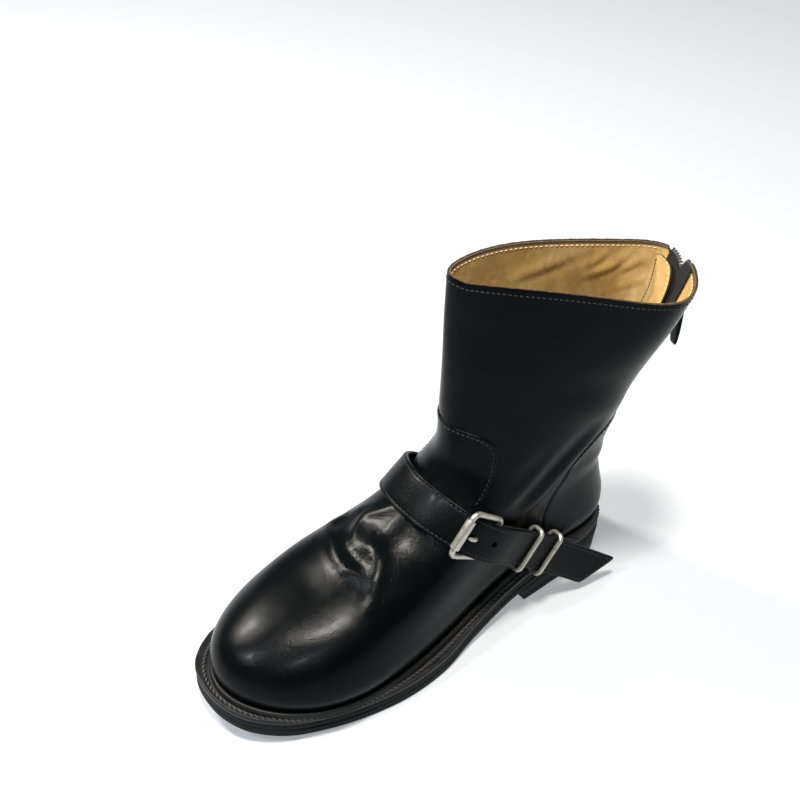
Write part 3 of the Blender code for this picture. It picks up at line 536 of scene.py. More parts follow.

# %% [markdown]
# ## Folds of a worn boot
# Walking breaks the vamp in a few deep folds below the strap, and the ankle folds aslant on each side. Each
# fold is placed as a short line on the last, in degrees and ring rows, with a height (a hollow is below 0)
# and a width in millimetres. Its section is a bell curve, and it fades out at both ends.

# %% Folds
FOLDS = (
    # height, width, points (degrees from the toe, ring row)
    (1.4, 4.0, ((-6, 6.5), (-10, 6.3), (-17, 6.04), (-24, 5.74), (-22, 5.56), (-13, 5.46), (-6, 5.40))),
    (2.1, 5.0, ((-56, 4.2), (-45, 4.48), (-35, 4.77), (-24, 5.0), (-12, 5.08), (1, 5.08), (14, 5.02),
                (27, 4.92))),
    (1.6, 5.0, ((-1, 5.56), (4, 5.58), (11, 5.57), (20, 5.40), (27, 5.11), (32, 4.80), (36, 4.42),
                (39, 4.0))),
    (-1.2, 6.0, ((-36, 5.18), (-22, 5.28), (-5, 5.26), (11, 5.23), (20, 5.12))),
    (-0.7, 7.0, ((-8, 5.80), (-2, 5.92), (11, 5.92), (22, 5.72))),
    (2.4, 16.0, ((2, 5.6), (12, 5.57), (20, 5.40), (27, 5.11), (32, 4.80), (36, 4.42))),
    (-1.0, 14.0, ((36, 6.1), (44, 5.6), (52, 4.9), (60, 4.2))),
    (-0.8, 12.0, ((-30, 4.2), (-10, 4.35), (4, 4.35), (18, 4.2))),
    (-1.6, 8.0, ((-30, 5.5), (-40, 5.0), (-52, 4.5))),
    (1.4, 7.0, ((-22, 6.1), (-34, 5.6), (-48, 5.0))),
    (2.2, 7.0, ((121, 8.1), (108, 7.5), (101, 6.8), (99, 5.7), (98, 4.8))),
    (-2.4, 9.0, ((112, 8.3), (97, 7.4), (90, 6.6), (88, 5.6))),
    (-1.6, 8.0, ((84, 8.1), (72, 7.4), (64, 6.8))),
    (2.2, 7.0, ((-121, 8.2), (-108, 7.6), (-100, 6.9), (-97, 5.8))),
    (-2.6, 8.5, ((-112, 8.4), (-97, 7.5), (-89, 6.7), (-86, 5.7))),
    (2.0, 7.0, ((-98, 8.3), (-82, 7.6), (-72, 7.0))),
    (-1.8, 8.0, ((-80, 8.2), (-64, 7.5), (-52, 7.1))),
    (-1.3, 9.0, ((58, 7.5), (20, 7.7), (-20, 7.7), (-58, 7.5))),
    (1.0, 10.0, ((150, 8.6), (120, 8.9), (92, 9.5))),
    (-1.0, 12.0, ((150, 9.4), (110, 9.8), (75, 9.6))),
)
FOLD_STEPS = 24
ROW_STEP, ANGLE_STEP = 0.03, 0.02


def folds(points, table):
    """Millimetres that a table's folds lift each point: sum of height * exp(-(distance / width)^2) * fade,
    with the distance to the nearest of close steps along each fold's curve and
    fade = sin(pi * share along it) ^ 0.7."""
    flat = points.reshape(-1, 3)
    lift = np.zeros(len(flat))
    share = np.linspace(0, 1, FOLD_STEPS)
    fade = np.sin(math.pi * np.linspace(0.06, 0.94, FOLD_STEPS)) ** 0.7
    for height, width, route in table:
        route = through(np.array(route, float), share * (len(route) - 1))
        line = last_surface(np.radians(route[:, 0]), route[:, 1])
        near = np.flatnonzero(((flat > line.min(0) - 3 * width) & (flat < line.max(0) + 3 * width)).all(1))
        distance = np.linalg.norm(flat[near, None] - line[None], axis=-1)
        nearest = distance.argmin(1)
        closest = distance[np.arange(len(near)), nearest]
        lift[near] += height * np.exp(-((closest / width) ** 2)) * fade[nearest]
    return lift.reshape(points.shape[:-1])


def half_turns(theta):
    """The same angles brought between -pi and pi."""
    return (theta + math.pi) % (2 * math.pi) - math.pi


def on_last(theta, row, lift=0.0):
    """Points of the folded last, moved lift millimetres along the plain last's normal."""
    theta, row = np.broadcast_arrays(np.asarray(theta, float), np.asarray(row, float))
    wrapped = half_turns(theta)
    point = last_surface(wrapped, row)
    above, below = (np.clip(row + step, 0, COLLAR_ROW) for step in (ROW_STEP, -ROW_STEP))
    ahead, behind = (np.clip(wrapped + step, -math.pi, math.pi) for step in (ANGLE_STEP, -ANGLE_STEP))
    up = last_surface(wrapped, above) - last_surface(wrapped, below)
    normal = unit(np.cross(up, last_surface(ahead, row) - last_surface(behind, row)))
    return point + (folds(point, FOLDS) + lift)[..., None] * normal


print("folds:", len(FOLDS))

# %% [markdown]
# ## Upper and lining
# The shaft and vamp are one wall of black leather with a thinner tan lining inside it. Both are cut open at
# the back for the zip, closed above the heel counter and left raw at the collar, where the slit is drawn wide
# on its inner side because the zip is not run up to the end. They are two separate walls, each between two
# lifts of the last, so the cut edge shows both leathers as on the real boot. A narrow band of the black
# leather's brown flesh side shows above the lining, and the lining has its own small wrinkles.

# %% Upper and lining
ZIP_LOW, ZIP_CLOSED, ZIP_LEAN, SLIT_HALF = 8.62, 8.80, 10.0, 3.3
OUTER_FLARE, OUTER_POWER, INNER_FLARE, INNER_POWER = 2.2, 2, 17.0, 8
LEATHER, LINING_TOP, LINING_FOOT = 1.35, 1.40, 2.40
LINING_ROW, RAGGED = COLLAR_ROW - 0.075, 0.06
UPPER_GRID, LINING_GRID, FLESH_ROWS = (236, 172), (210, 170), 4
LINING_FOLDS = (
    # height towards the foot, width, points (degrees from the toe, ring row)
    (1.3, 4.0, ((-108, 11.15), (-116.8, 11.27), (-123.2, 11.44), (-128.6, 11.72))),
    (-0.9, 2.0, ((-112, 11.05), (-118, 11.17), (-125, 11.33), (-131, 11.64))),
    (1.1, 3.4, ((-128, 11.22), (-134, 11.40), (-138, 11.58), (-140, 11.75))),
    (-0.9, 1.9, ((-129, 11.16), (-134.9, 11.31), (-139, 11.45))),
    (0.9, 3.2, ((-104, 11.3), (-111, 11.5), (-115.5, 11.74))),
    (-0.6, 2.2, ((-107, 11.28), (-113.8, 11.45), (-118, 11.72))),
    (0.8, 3.5, ((-130, 10.75), (-137, 10.88), (-144, 11.0), (-151, 11.2))),
    (-0.6, 2.2, ((-131, 10.7), (-138, 10.82), (-145, 10.93), (-151, 11.1))),
    (0.8, 4.5, ((-70, 11.2), (-84, 11.35), (-96, 11.6))),
    (-0.7, 3.0, ((-76, 11.1), (-90, 11.3), (-101, 11.55))),
)


def back_angle(row, offset):
    """The angle beyond the middle of the back that lies offset millimetres along the ring."""
    turn = 0.05
    middle, beside = (last_surface(np.full_like(row, angle), row) for angle in (math.pi, math.pi - turn))
    return offset * turn / np.linalg.norm(beside - middle, axis=-1)


def zip_middle(row):
    """Angle of the zip's middle line: at the back at its foot, ZIP_LEAN millimetres inwards at the top."""
    share = np.clip((row - ZIP_LOW) / (COLLAR_ROW - ZIP_LOW), 0, 1)
    return math.pi + back_angle(row, ZIP_LEAN * share)


def slit_grid(columns, rows, top):
    """Angles and rows of a grid round the last that leaves the zip's slit open, and which rows have a free
    side. Each side of the slit is half + flare * share^power from the zip's middle line."""
    row = np.linspace(0, top, rows)
    share = np.clip((row - ZIP_LOW) / (COLLAR_ROW - ZIP_LOW), 0, 1)
    opened = np.sqrt(smooth(row, ZIP_LOW, ZIP_CLOSED))
    inner_side = back_angle(row, opened * (SLIT_HALF + INNER_FLARE * share**INNER_POWER))
    outer_side = back_angle(row, opened * (SLIT_HALF + OUTER_FLARE * share**OUTER_POWER))
    start = zip_middle(row) - 2 * math.pi + inner_side
    round_it = 2 * math.pi - inner_side - outer_side
    theta = start[:, None] + round_it[:, None] * np.linspace(0, 1, columns + 1)
    return theta, np.broadcast_to(row[:, None], theta.shape), opened[1:] > 0


theta, row, free = slit_grid(*UPPER_GRID, COLLAR_ROW)
edge = smooth(row, COLLAR_ROW - 0.05, COLLAR_ROW)
ragged = RAGGED * edge * (np.sin(37 * theta) + np.sin(61 * theta + 1) + np.sin(103 * theta + 2))
outer, inner = on_last(theta, row, -0.25 * edge), on_last(theta, row, -LEATHER)
outer[..., 2] += ragged
inner[..., 2] += 0.7 * ragged
points, quads, rim = wall(outer, inner, side_rows=free)
add_piece("upper_leather", points, quads, CALF, ("upper",), edge=(RAW_EDGE, rim))

theta, row, free = slit_grid(*LINING_GRID, LINING_ROW)
foot_side = -LINING_FOOT - folds(last_surface(half_turns(theta), row), LINING_FOLDS)
points, quads, rim = wall(on_last(theta, row, -LINING_TOP), on_last(theta, row, foot_side), side_rows=free)
add_piece("lining", points, quads, TAN_LEATHER, edge=(RAW_EDGE, rim))

theta, row = (grid[-FLESH_ROWS:] for grid in slit_grid(*LINING_GRID, COLLAR_ROW - 0.01)[:2])
band = [on_last(theta, row, lift) for lift in (-LEATHER - 0.03, -LINING_FOOT + 0.25)]
points, quads = wall(*band)[:2]
add_piece("collar_flesh", points, quads, FLESH_SIDE, sharp=40)

# %% [markdown]
# ## Stitches
# A lockstitch is a row of short thread humps that dive into the leather at both ends. One hump is a small
# ellipsoid of a few dozen faces; all humps of a row are placed at once by array maths along a measured path.

# %% Stitches
HUMP_RINGS, HUMP_SIDES = 6, 6


def stitch_points(path, out, length, pitch, width, height, slant=0.0):
    """Points and quads of a row of stitches: ellipsoids of length by width by height, a pitch apart along the
    path, turned by slant degrees about the outward direction."""
    run = measured(path)
    at = np.arange(pitch, run[-1] - pitch / 2, pitch)
    centre = np.stack([np.interp(at, run, path[:, k]) for k in range(3)], -1)
    along = unit(np.stack([np.interp(at, run, np.gradient(path[:, k], run)) for k in range(3)], -1))
    normal = unit(np.stack([np.interp(at, run, out[:, k]) for k in range(3)], -1))
    side = unit(np.cross(normal, along))
    cos, sin = math.cos(math.radians(slant)), math.sin(math.radians(slant))
    along, side = along * cos + side * sin, side * cos - along * sin
    lat = np.linspace(0, math.pi, HUMP_RINGS)[:, None]
    lon = 2 * math.pi * np.arange(HUMP_SIDES) / HUMP_SIDES
    a = length / 2 * np.cos(lat) * np.ones_like(lon)
    b, c = width / 2 * np.sin(lat) * np.cos(lon), height * np.sin(lat) * np.sin(lon)
    hump = a[None, ..., None] * along[:, None, None] + b[None, ..., None] * side[:, None, None]
    hump = hump + c[None, ..., None] * normal[:, None, None] + centre[:, None, None]
    one = grid_faces(HUMP_RINGS, HUMP_SIDES, close_columns=True)
    quads = (one[None] + (np.arange(len(at)) * HUMP_RINGS * HUMP_SIDES)[:, None, None]).reshape(-1, 4)
    return hump.reshape(-1, 3), quads


def joined(parts):
    """Several (points, quads) as one."""
    counts = np.cumsum([0] + [len(points) for points, quads in parts])
    return np.concatenate([p for p, q in parts]), np.concatenate([q + n for (p, q), n in zip(parts, counts)])


def seam(place, lift, length=2.4, pitch=3.1, width=0.75, height=0.42, towards=1.0):
    """A stitch row along the line place(lift), standing out to the side of place(lift + towards)."""
    path = place(lift)
    return stitch_points(path, place(lift + towards) - path, length, pitch, width, height)


def seam_on_last(theta, row, lift):
    """A stitch row along a line of angles (degrees) and rows on the last."""
    return seam(lambda height: on_last(np.radians(theta), row, height), lift)


# %% [markdown]
# ## Vamp tab and heel counter
# The vamp runs up into a square tab sewn on the front of the shaft, and a curved counter is sewn around the
# heel. Both are thin overlays: patches of the last between two lifts, so they follow every fold, with their
# borders skived thin.

# %% Overlays
OVERLAY_LOW, TAB_THICK, COUNTER_THICK, SKIVED = 0.02, 0.95, 0.55, 0.6
TAB_ANGLE, TAB_LOW, TAB_TOP, TAB_CORNER = 50.0, 6.8, 8.70, 0.28
COUNTER_FOOT, COUNTER_ANGLE, COUNTER_LEAN = 0.55, 122.0, 12.0
COUNTER_TOP = np.array([
    # degrees from the toe, ring row of the counter's upper edge
    (110.0, 6.75), (113.0, 7.15), (122.0, 7.75), (145.0, 8.25), (180.0, 8.42),
])


def bordered(count, border):
    """Shares from 0 to 1 with extra ones near both ends, for a skived border."""
    near = np.array([0, border / 3, border])
    return np.concatenate([near, np.linspace(2 * border, 1 - 2 * border, count), (1 - near)[::-1]])


def overlay(name, node, theta, row, skive, thick):
    """A patch of the last from OVERLAY_LOW to a thickness that loses the share SKIVED where skive is 1."""
    high = thick * (1 - SKIVED * skive)
    points, quads = wall(on_last(theta, row, high), on_last(theta, row, OVERLAY_LOW))[:2]
    add_piece(name, points, quads, CALF, (node,), sharp=70)


across, up = np.meshgrid(2 * bordered(56, 0.008) - 1, bordered(30, 0.012))
tab_top = TAB_TOP - TAB_CORNER * np.abs(across) ** 8
skive = np.maximum(smooth(np.abs(across), 0.984, 1.0), smooth(up, 0.988, 1.0))
row = TAB_LOW + (tab_top - TAB_LOW) * up
overlay("vamp_tab_panel", "vamp_tab", np.radians(TAB_ANGLE) * across, row, skive, TAB_THICK)

up = bordered(46, 0.006)[:, None]
front = COUNTER_ANGLE - COUNTER_LEAN * up**1.5
half_way = bordered(60, 0.004) * np.ones_like(up)
angle = front + (360 - 2 * front) * half_way
counter_row = np.linspace(0, len(COUNTER_TOP) - 1, 80)
counter_curve = through(COUNTER_TOP, counter_row)
counter_top = np.interp(180 - np.abs(180 - angle), counter_curve[:, 0], counter_curve[:, 1])
row = COUNTER_FOOT + (counter_top - COUNTER_FOOT) * up
skive = np.maximum(smooth(np.abs(2 * half_way - 1), 0.992, 1.0), smooth(up, 0.994, 1.0))
overlay("heel_counter_panel", "heel_counter", np.radians(angle), row, skive, COUNTER_THICK)

# %% [markdown]
# ## Sole
# Under the upper lie three black layers: the stitched welt, a thin midsole and the outsole, with a heel
# block below. All follow one outline and one feather line. A profile of insets and depths is carried around
# that outline; the layers' edges have small bevels, and a fine line shows where they meet.

# %% Outline of the sole
SOLE_COLUMNS = 360
OUTLINE = np.array([
    # place along the boot, outer edge, inner edge
    (0.0, 0.0, 0.0),
    (7.0, 23.0, -23.0),
    (30.0, 35.0, -34.5),
    (65.0, 38.5, -36.0),
    (100.0, 41.0, -34.5),
    (135.0, 47.0, -37.0),
    (165.0, 55.0, -43.0),
    (195.0, 57.8, -50.5),
    (225.0, 54.5, -54.0),
    (250.0, 49.0, -52.0),
    (272.0, 41.5, -44.8),
    (289.0, 29.0, -32.0),
    (297.5, 14.5, -19.0),
    (300.0, -1.5, -1.5),
])


def outline_edge(theta):
    """(x, s) on the sole's outline: s = length * (1 + cos theta) / 2, x from the outer or inner edge."""
    rows = np.linspace(1, len(OUTLINE), 3000)
    turned = half_turns(theta)
    edges = []
    for own, other in ((1, 2), (2, 1)):
        before, after = OUTLINE[1, [0, other]], OUTLINE[-2, [0, other]]
        curve = through(np.vstack([before, OUTLINE[:, [0, own]], after]), rows)
        angle = np.arccos(np.clip(2 * curve[:, 0] / SOLE_LENGTH - 1, -1, 1))
        edges.append(np.interp(np.abs(turned), angle[::-1], curve[::-1, 1]))
    return np.stack([np.where(turned >= 0, *edges), SOLE_LENGTH * (1 + np.cos(theta)) / 2], -1)


def outline(theta, inset):
    """The outline moved inwards at right angles to itself."""
    along = unit(outline_edge(theta + 0.02) - outline_edge(theta - 0.02))
    return outline_edge(theta) + np.asarray(inset)[..., None] * np.stack([along[..., 1], -along[..., 0]], -1)


def sole_ring(theta, inset, drop):
    """The outline at an inset, drop millimetres below the feather line."""
    flat = outline(theta, inset)
    return np.column_stack([flat, feather(flat[:, 1]) - drop])


around = math.pi - 2 * math.pi * (np.arange(SOLE_COLUMNS) + 0.5) / SOLE_COLUMNS
print("outline:", SOLE_COLUMNS, "columns")

# %% Midsole and outsole
MIDSOLE = (
    # inset, drop below the feather line
    (1.0, 12.55), (0.62, 12.4), (0.50, 12.0), (0.42, 10.6), (0.50, 9.1), (0.65, 8.6), (1.0, 8.45),
)
OUTSOLE = (
    (2.6, 18.5), (1.2, 18.45), (0.6, 18.1), (0.25, 17.4), (0.15, 16.4), (0.30, 15.6), (0.15, 14.8),
    (0.2, 13.5), (0.4, 13.0), (0.8, 12.85),
)
for name, sides in (("midsole", MIDSOLE), ("outsole", OUTSOLE)):
    points, quads = skinned([sole_ring(around, inset, drop) for inset, drop in sides])
    add_piece(name + "_layer", points, quads, RUBBER, (name,), sharp=60)

# %% [markdown]
# ## Heel
# The heel is a stacked block: two lifts of rubber with a fine seam between them, tapering slightly to the
# floor. Its front, the breast, leans back a little. It is a skin over a few level rings.

# %% Heel
HEEL_BREAST_TOP, HEEL_BREAST_FOOT = 90.0, 85.0
HEEL_COLUMNS, HEEL_CLEAR = 60, 0.05
HEEL_RINGS = (
    # share of the way up, inset from the outline
    (0.0, 2.6), (0.02, 1.9), (0.07, 1.6), (0.40, 1.30), (0.425, 1.55), (0.45, 1.26), (0.85, 0.6), (1.0, 0.4),
)
rings = []
for share, inset in HEEL_RINGS:
    breast = HEEL_BREAST_FOOT + (HEEL_BREAST_TOP - HEEL_BREAST_FOOT) * share
    stop = math.acos(2 * breast / SOLE_LENGTH - 1)
    outer_side = np.linspace(math.pi - 0.01, stop, HEEL_COLUMNS)
    flat = np.vstack([outline(outer_side, inset), outline(-outer_side[::-1], inset)])
    top = feather(flat[:, 1]) - BALL_HEIGHT - HEEL_CLEAR
    rings.append(np.column_stack([flat, top * share]))
points, quads = skinned(rings)
add_piece("heel_block", points, quads, RUBBER, ("heel",), sharp=35)

# %% [markdown]
# ## Storm welt
# A storm welt has a raised rib that presses against the upper to keep water out, a stitched groove beside
# it and a flat edge. Its section is a closed profile carried all the way round, partly measured from the
# upper and partly from the outline, and the outer edge is a little worn.

# %% Storm welt
RIB_ROW, WELT_FOOT, WORN = 0.36, 8.2, 0.10
WELT_RIB = (
    # offset from the upper, drop below the feather line
    (0.15, 0.6), (0.45, 0.05), (0.95, -0.30), (1.55, -0.34), (2.15, -0.10), (2.65, 0.45), (2.95, 1.2),
    (3.1, 2.2), (3.25, 3.2), (3.55, 3.75), (4.0, 3.95),
)
WELT_EDGE = (
    # inset from the outline, drop below the feather line
    (2.4, 3.85), (1.5, 3.70), (0.8, 3.72), (0.35, 3.95), (0.08, 4.45), (0.0, 5.2), (0.12, 6.6),
    (0.25, 7.8), (0.7, 8.2),
)


def beside_upper(theta, row, offset):
    """The plain last's ring at one row, moved out level by an offset, as (x, s)."""
    ring = last_surface(theta, np.full_like(theta, row))[:, :2]
    along = unit(np.roll(ring, -1, axis=0) - np.roll(ring, 1, axis=0))
    return ring + offset * np.stack([along[:, 1], -along[:, 0]], -1)


wobble = np.sin(23 * around) + np.sin(41 * around + 1) + np.sin(67 * around + 2)
flats = [(beside_upper(around, 0.0, 0.3), WELT_FOOT)]
flats += [(beside_upper(around, RIB_ROW, offset), drop) for offset, drop in WELT_RIB]
flats += [(outline(around, inset), drop) for inset, drop in WELT_EDGE]
rings = [np.column_stack([flat, feather(flat[:, 1]) - drop]) for flat, drop in flats]
# the third to fifth rows of the edge are worn
for ring in rings[len(WELT_RIB) + 3 : len(WELT_RIB) + 6]:
    ring[:, 2] += WORN * wobble
points, quads = skinned(rings, ring_of_rings=True)
add_piece("storm_welt", points, quads, WELT_LEATHER, ("welt",), sharp=70)

# %% Welt stitches
STITCH_SHARE, STITCH_DROP, STITCH_PITCH, STITCH_SLANT = 0.42, 3.75, 3.5, 26.0
near_upper, near_edge = beside_upper(around, RIB_ROW, 4.0), outline(around, 1.5)
flat = near_upper + STITCH_SHARE * (near_edge - near_upper)
path = np.column_stack([flat, feather(flat[:, 1]) - STITCH_DROP])
path = np.vstack([path, path[:1]])
level = np.tile([0.0, 0.0, 1.0], (len(path), 1))
points, quads = stitch_points(path, level, 4.0, STITCH_PITCH, 1.7, 1.15, STITCH_SLANT)
add_piece("welt_stitches", points, quads, WELT_THREAD)

# %% [markdown]
# ## Insole
# Inside, a tan leather board covers the bottom. It is a slab that curves up at its rim, like a tray.

# %% Insole
INSOLE = (
    # offset from the upper's foot, drop below the feather line
    (-0.4, 8.1), (-0.3, 4.2), (-2.0, 4.5), (-7.0, 5.3),
)
flats = [(beside_upper(around[::2], 0.0, offset), drop) for offset, drop in INSOLE]
points, quads = skinned([np.column_stack([flat, feather(flat[:, 1]) - drop]) for flat, drop in flats])
add_piece("insole_board", points, quads, TAN_LEATHER, ("insole",))

# %% [markdown]
# ## Straps
# One long strap is sewn in at the inner side of the welt, crosses the instep, goes through the buckle and
# keepers and ends in a free tail. A short strap comes up from the outer side and holds the buckle. Both lie
# across one sloping plane, so their middle line is a curve in two dimensions, x and p up the slope, and a
# rounded section is carried along it. A groove near each edge takes the stitches, and one punched hole shows
# between the buckle and the first keeper: a raised rim round a near-black disc of painted shade, as the strap
# itself is not cut through.

# %% Strap geometry
STRAP_SLOPE, STRAP_LEVEL = math.atan(0.8), -13.6
STRAP_WIDTH, STRAP_THICK = 25.0, 2.8
STRAP_START, WELT_CUT, TAIL_CUT, TAIL_ROUND, TAIL_POWER = 71.0, 1.25, 16.5, 2.2, 14
STRAP_LEAN, LEAN_P, LEAN_RISE, LEAN_X, LEAN_FADE = 5.0, 135.0, 45.0, 40.0, 22.0
STRAP_PATH = np.array([
    # x and p of the strap's inner face, from the inner side of the boot to the free tail
    (-31.0, 48.0), (-31.6, 70.0), (-31.9, 95.0), (-33.1, 116.0), (-35.6, 138.0), (-36.7, 154.0),
    (-34.6, 166.6), (-27.2, 176.8), (-15.5, 184.5), (0.8, 188.0), (17.2, 185.8), (29.8, 179.7),
    (38.4, 172.3), (42.9, 164.0), (45.9, 152.0), (46.4, 140.0), (45.0, 127.0), (43.5, 111.0),
    (43.5, 92.0), (44.8, 76.0), (48.0, 55.0), (53.5, 26.0),
])
BUCKLE_STRAP_PATH = np.array([
    (37.6, 48.0), (38.8, 62.0), (40.2, 78.0), (40.4, 95.0), (40.4, 112.0), (41.0, 125.0), (41.8, 137.0),
    (42.5, 148.2),
])
HALF_SECTION = np.array([
    # share of the half width, share of the thickness, across the outer face from one edge to the middle
    (-1.0, 0.50), (-0.995, 0.72), (-0.965, 0.92), (-0.92, 1.0), (-0.86, 0.97), (-0.81, 0.90),
    (-0.76, 0.97), (-0.70, 1.0), (-0.35, 1.02), (0.0, 1.03),
])
STRAP_SECTION = np.vstack([HALF_SECTION, HALF_SECTION[-2::-1] * [-1, 1]])


def from_strap(x, p, w):
    """Strap coordinates to boot coordinates: n = level + w, s = p cos - n sin, z = p sin + n cos."""
    x, p, n = np.broadcast_arrays(x, p, STRAP_LEVEL + np.asarray(w, float))
    cos, sin = math.cos(STRAP_SLOPE), math.sin(STRAP_SLOPE)
    return np.stack([x, p * cos - n * sin, p * sin + n * cos], -1)


def strap_point(table, run, w, t, facing):
    """A point run millimetres along a strap's path, w across it and t above its inner face. Over the instep
    its upper edge leans in: lean * rise over the slope * fade to the outer side * (w / width + 1/2)."""
    path = through(table, np.linspace(0, len(table) - 1, 2000))
    length = measured(path)
    tangent = np.gradient(path, length, axis=0)
    x, p, along_x, along_p = (np.interp(run, length, column) for column in (*path.T, *tangent.T))
    share = np.clip((p - LEAN_P) / LEAN_RISE, 0, 1) * np.clip((LEAN_X - x) / LEAN_FADE, 0, 1)
    lift = t - STRAP_LEAN * share * (w / STRAP_WIDTH + 0.5)
    return from_strap(x - facing * lift * along_p, p + facing * lift * along_x, w)


def path_length(table):
    """Length of a strap's path."""
    return measured(through(table, np.linspace(0, len(table) - 1, 2000)))[-1]


def strap_ends(table, w, tail):
    """Where a strap begins and ends at each place across it: cut level at the welt, aslant with round corners
    at the tail."""
    begin = STRAP_START - WELT_CUT * w - table[0, 1]
    end = np.full_like(w, path_length(table))
    if tail:
        rounding = TAIL_ROUND * np.abs(2 * w / STRAP_WIDTH) ** TAIL_POWER
        end = end - TAIL_CUT * (0.5 - w / STRAP_WIDTH) - rounding
    return begin, end


def add_strap(name, table, rows, facing, tail, node):
    """A strap: its section carried along its path, thinning to a rounded end."""
    lower = STRAP_SECTION[::-1] * [1, -1] + [0, 1]
    lower[:, 1] = np.clip(lower[:, 1], 0.0, 1.0)
    section = np.vstack([STRAP_SECTION, lower])
    w = section[:, 0] * STRAP_WIDTH / 2
    begin, end = strap_ends(table, w, tail)
    share = np.concatenate([np.linspace(0, 0.985, rows), [0.990, 0.994, 0.9965, 0.9985, 1.0]])[:, None]
    thin = np.sqrt(1 - 0.8 * smooth(share, 0.992, 1.0) ** 2)
    t = STRAP_THICK * (0.5 + (section[:, 1] - 0.5) * thin)
    run = begin + (end - begin) * share
    points, quads = skinned(strap_point(table, run, np.broadcast_to(w, run.shape), t, facing))
    add_piece(name, points, quads, STRAP_CALF, (node,), sharp=60)


add_strap("long_strap", STRAP_PATH, 260, 1, True, "instep_strap")
add_strap("short_strap", BUCKLE_STRAP_PATH, 60, -1, False, "buckle_strap")

# %% Strap stitches
EDGE_INSET, END_INSET = 2.35, 2.6
edge_w = np.array([-1.0, 1.0]) * (STRAP_WIDTH / 2 - EDGE_INSET)
begin, end = strap_ends(STRAP_PATH, edge_w, True)


def strap_seam(run, w, t, height):
    """A stitch row on the long strap, t above its inner face."""
    return seam(lambda lift: strap_point(STRAP_PATH, run, w, lift, 1), t, 2.5, 3.2, 0.8, height)


rows_of_stitches = []
for side in (0, 1):
    run = np.linspace(begin[side] + 2, end[side] - 2.5, 700)
    rows_of_stitches.append(strap_seam(run, np.full(700, edge_w[side]), STRAP_THICK * 0.90, 0.42))
run = np.linspace(end[0], end[1], 60) - END_INSET
rows_of_stitches.append(strap_seam(run, np.linspace(*edge_w, 60), STRAP_THICK * 1.01, 0.35))
points, quads = joined(rows_of_stitches)
add_piece("strap_stitches", points, quads, BLACK_THREAD)

# %% Punched hole: painted shade inside a raised rim
HOLE_RUN, HOLE_ACROSS, HOLE_SIDES = 227.5, 0.5, 28
HOLE_RINGS = (
    # radius, height above the strap's outer face
    (0.9, 0.02), (1.0, 0.03), (1.25, 0.16), (1.6, 0.14), (1.9, 0.03), (1.9, -0.3), (0.9, -0.3),
)
turn = 2 * math.pi * np.arange(HOLE_SIDES) / HOLE_SIDES
rings = []
for radius, height in HOLE_RINGS:
    run, w = HOLE_RUN + radius * np.cos(turn), HOLE_ACROSS + radius * np.sin(turn)
    rings.append(strap_point(STRAP_PATH, run, w, STRAP_THICK * 1.03 + height, 1))
points, quads = skinned(rings)
# the disc inside the rim is painted shade; the strap under it is not cut through
add_piece("punch_hole", points, quads, HOLE_PAINTED_SHADE, sharp=80)

# %% [markdown]
# ## Buckle and keepers
# The buckle is bent wire: a rounded rectangle whose front bar carries a loose rolled sleeve, with a hooked
# prong on the rear bar. Two wire loops keep the tail down. A wire is a round section carried along a closed
# path; the sleeve is a turned ring with lips, slit along its outer side.

# %% Buckle and keepers
WIRE, KEEPER_WIRE = 3.6, 2.9
ROLLER_X, ROLLER_P, REAR_BAR_X, REAR_BAR_P = 43.0, 177.0, 43.95, 151.0
FRAME_HALF, FRAME_CORNER, FRAME_TAPER = 15.2, 4.0, 3.6
ROLLER_BORE, ROLLER_RADIUS, ROLLER_HALF = 2.0, 3.0, 10.0
PRONG_PATH = np.array([(42.6, 164.0), (44.4, 165.6), (46.2, 167.6), (47.0, 170.8), (46.6, 174.6)])
KEEPER_INNER_X, KEEPER_OUTER_X, KEEPER_HALF, KEEPER_CORNER = 38.75, 47.95, 15.0, 3.4
KEEPERS = (("keeper_front", 109.5), ("keeper_rear", 87.0))


def rounded_loop(half_a, half_b, corner, bend=9, straight=10):
    """(a, b) around a rectangle with round corners: straight runs of points between quarter circles."""
    found = []
    for k, (sign_a, sign_b) in enumerate(((1, 1), (-1, 1), (-1, -1), (1, -1))):
        angle = np.linspace(0, math.pi / 2, bend) + k * math.pi / 2
        centre = np.array([sign_a * (half_a - corner), sign_b * (half_b - corner)])
        found.append(centre + corner * np.stack([np.cos(angle), np.sin(angle)], -1))
    ends = found[1:] + found[:1]
    runs = [np.linspace(a[-1], b[0], straight)[1:-1] for a, b in zip(found, ends)]
    return np.vstack([piece for pair in zip(found, runs) for piece in pair])


def tube(path, radius, sides, closed):
    """A round section of each radius carried along a flat path, its ends closed or joined."""
    path = np.asarray(path, float)
    along = np.roll(path, -1, axis=0) - np.roll(path, 1, axis=0) if closed else np.gradient(path, axis=0)
    along = unit(along)
    flat = np.linalg.svd(path - path.mean(axis=0))[2][2]
    side = unit(np.cross(along, flat))
    turn = 2 * math.pi * (np.arange(sides) + 0.5) / sides
    cos, sin = np.cos(turn)[None, :, None], np.sin(turn)[None, :, None]
    ring = cos * side[:, None] + sin * np.cross(side, along)[:, None]
    radius = np.broadcast_to(radius, len(path))[:, None, None]
    return skinned(path[:, None] + radius * ring, ring_of_rings=closed)


def wire_loop(name, node, centre, leg, reach, half, corner, wire, taper=0.0):
    """A closed wire: a rounded rectangle along the leg direction (x, p) and across the strap. The taper draws
    in its lower leg towards the rear."""
    loop = rounded_loop(reach, half, corner)
    loop[:, 1] += taper * np.clip(-loop[:, 1] / half, 0, 1) * (1 - loop[:, 0] / reach) / 2
    flat = np.asarray(centre) + loop[:, :1] * np.asarray(leg)
    points, quads = tube(from_strap(flat[:, 0], flat[:, 1], loop[:, 1]), wire / 2, 16, closed=True)
    add_piece(name, points, quads, NICKEL, (node,))


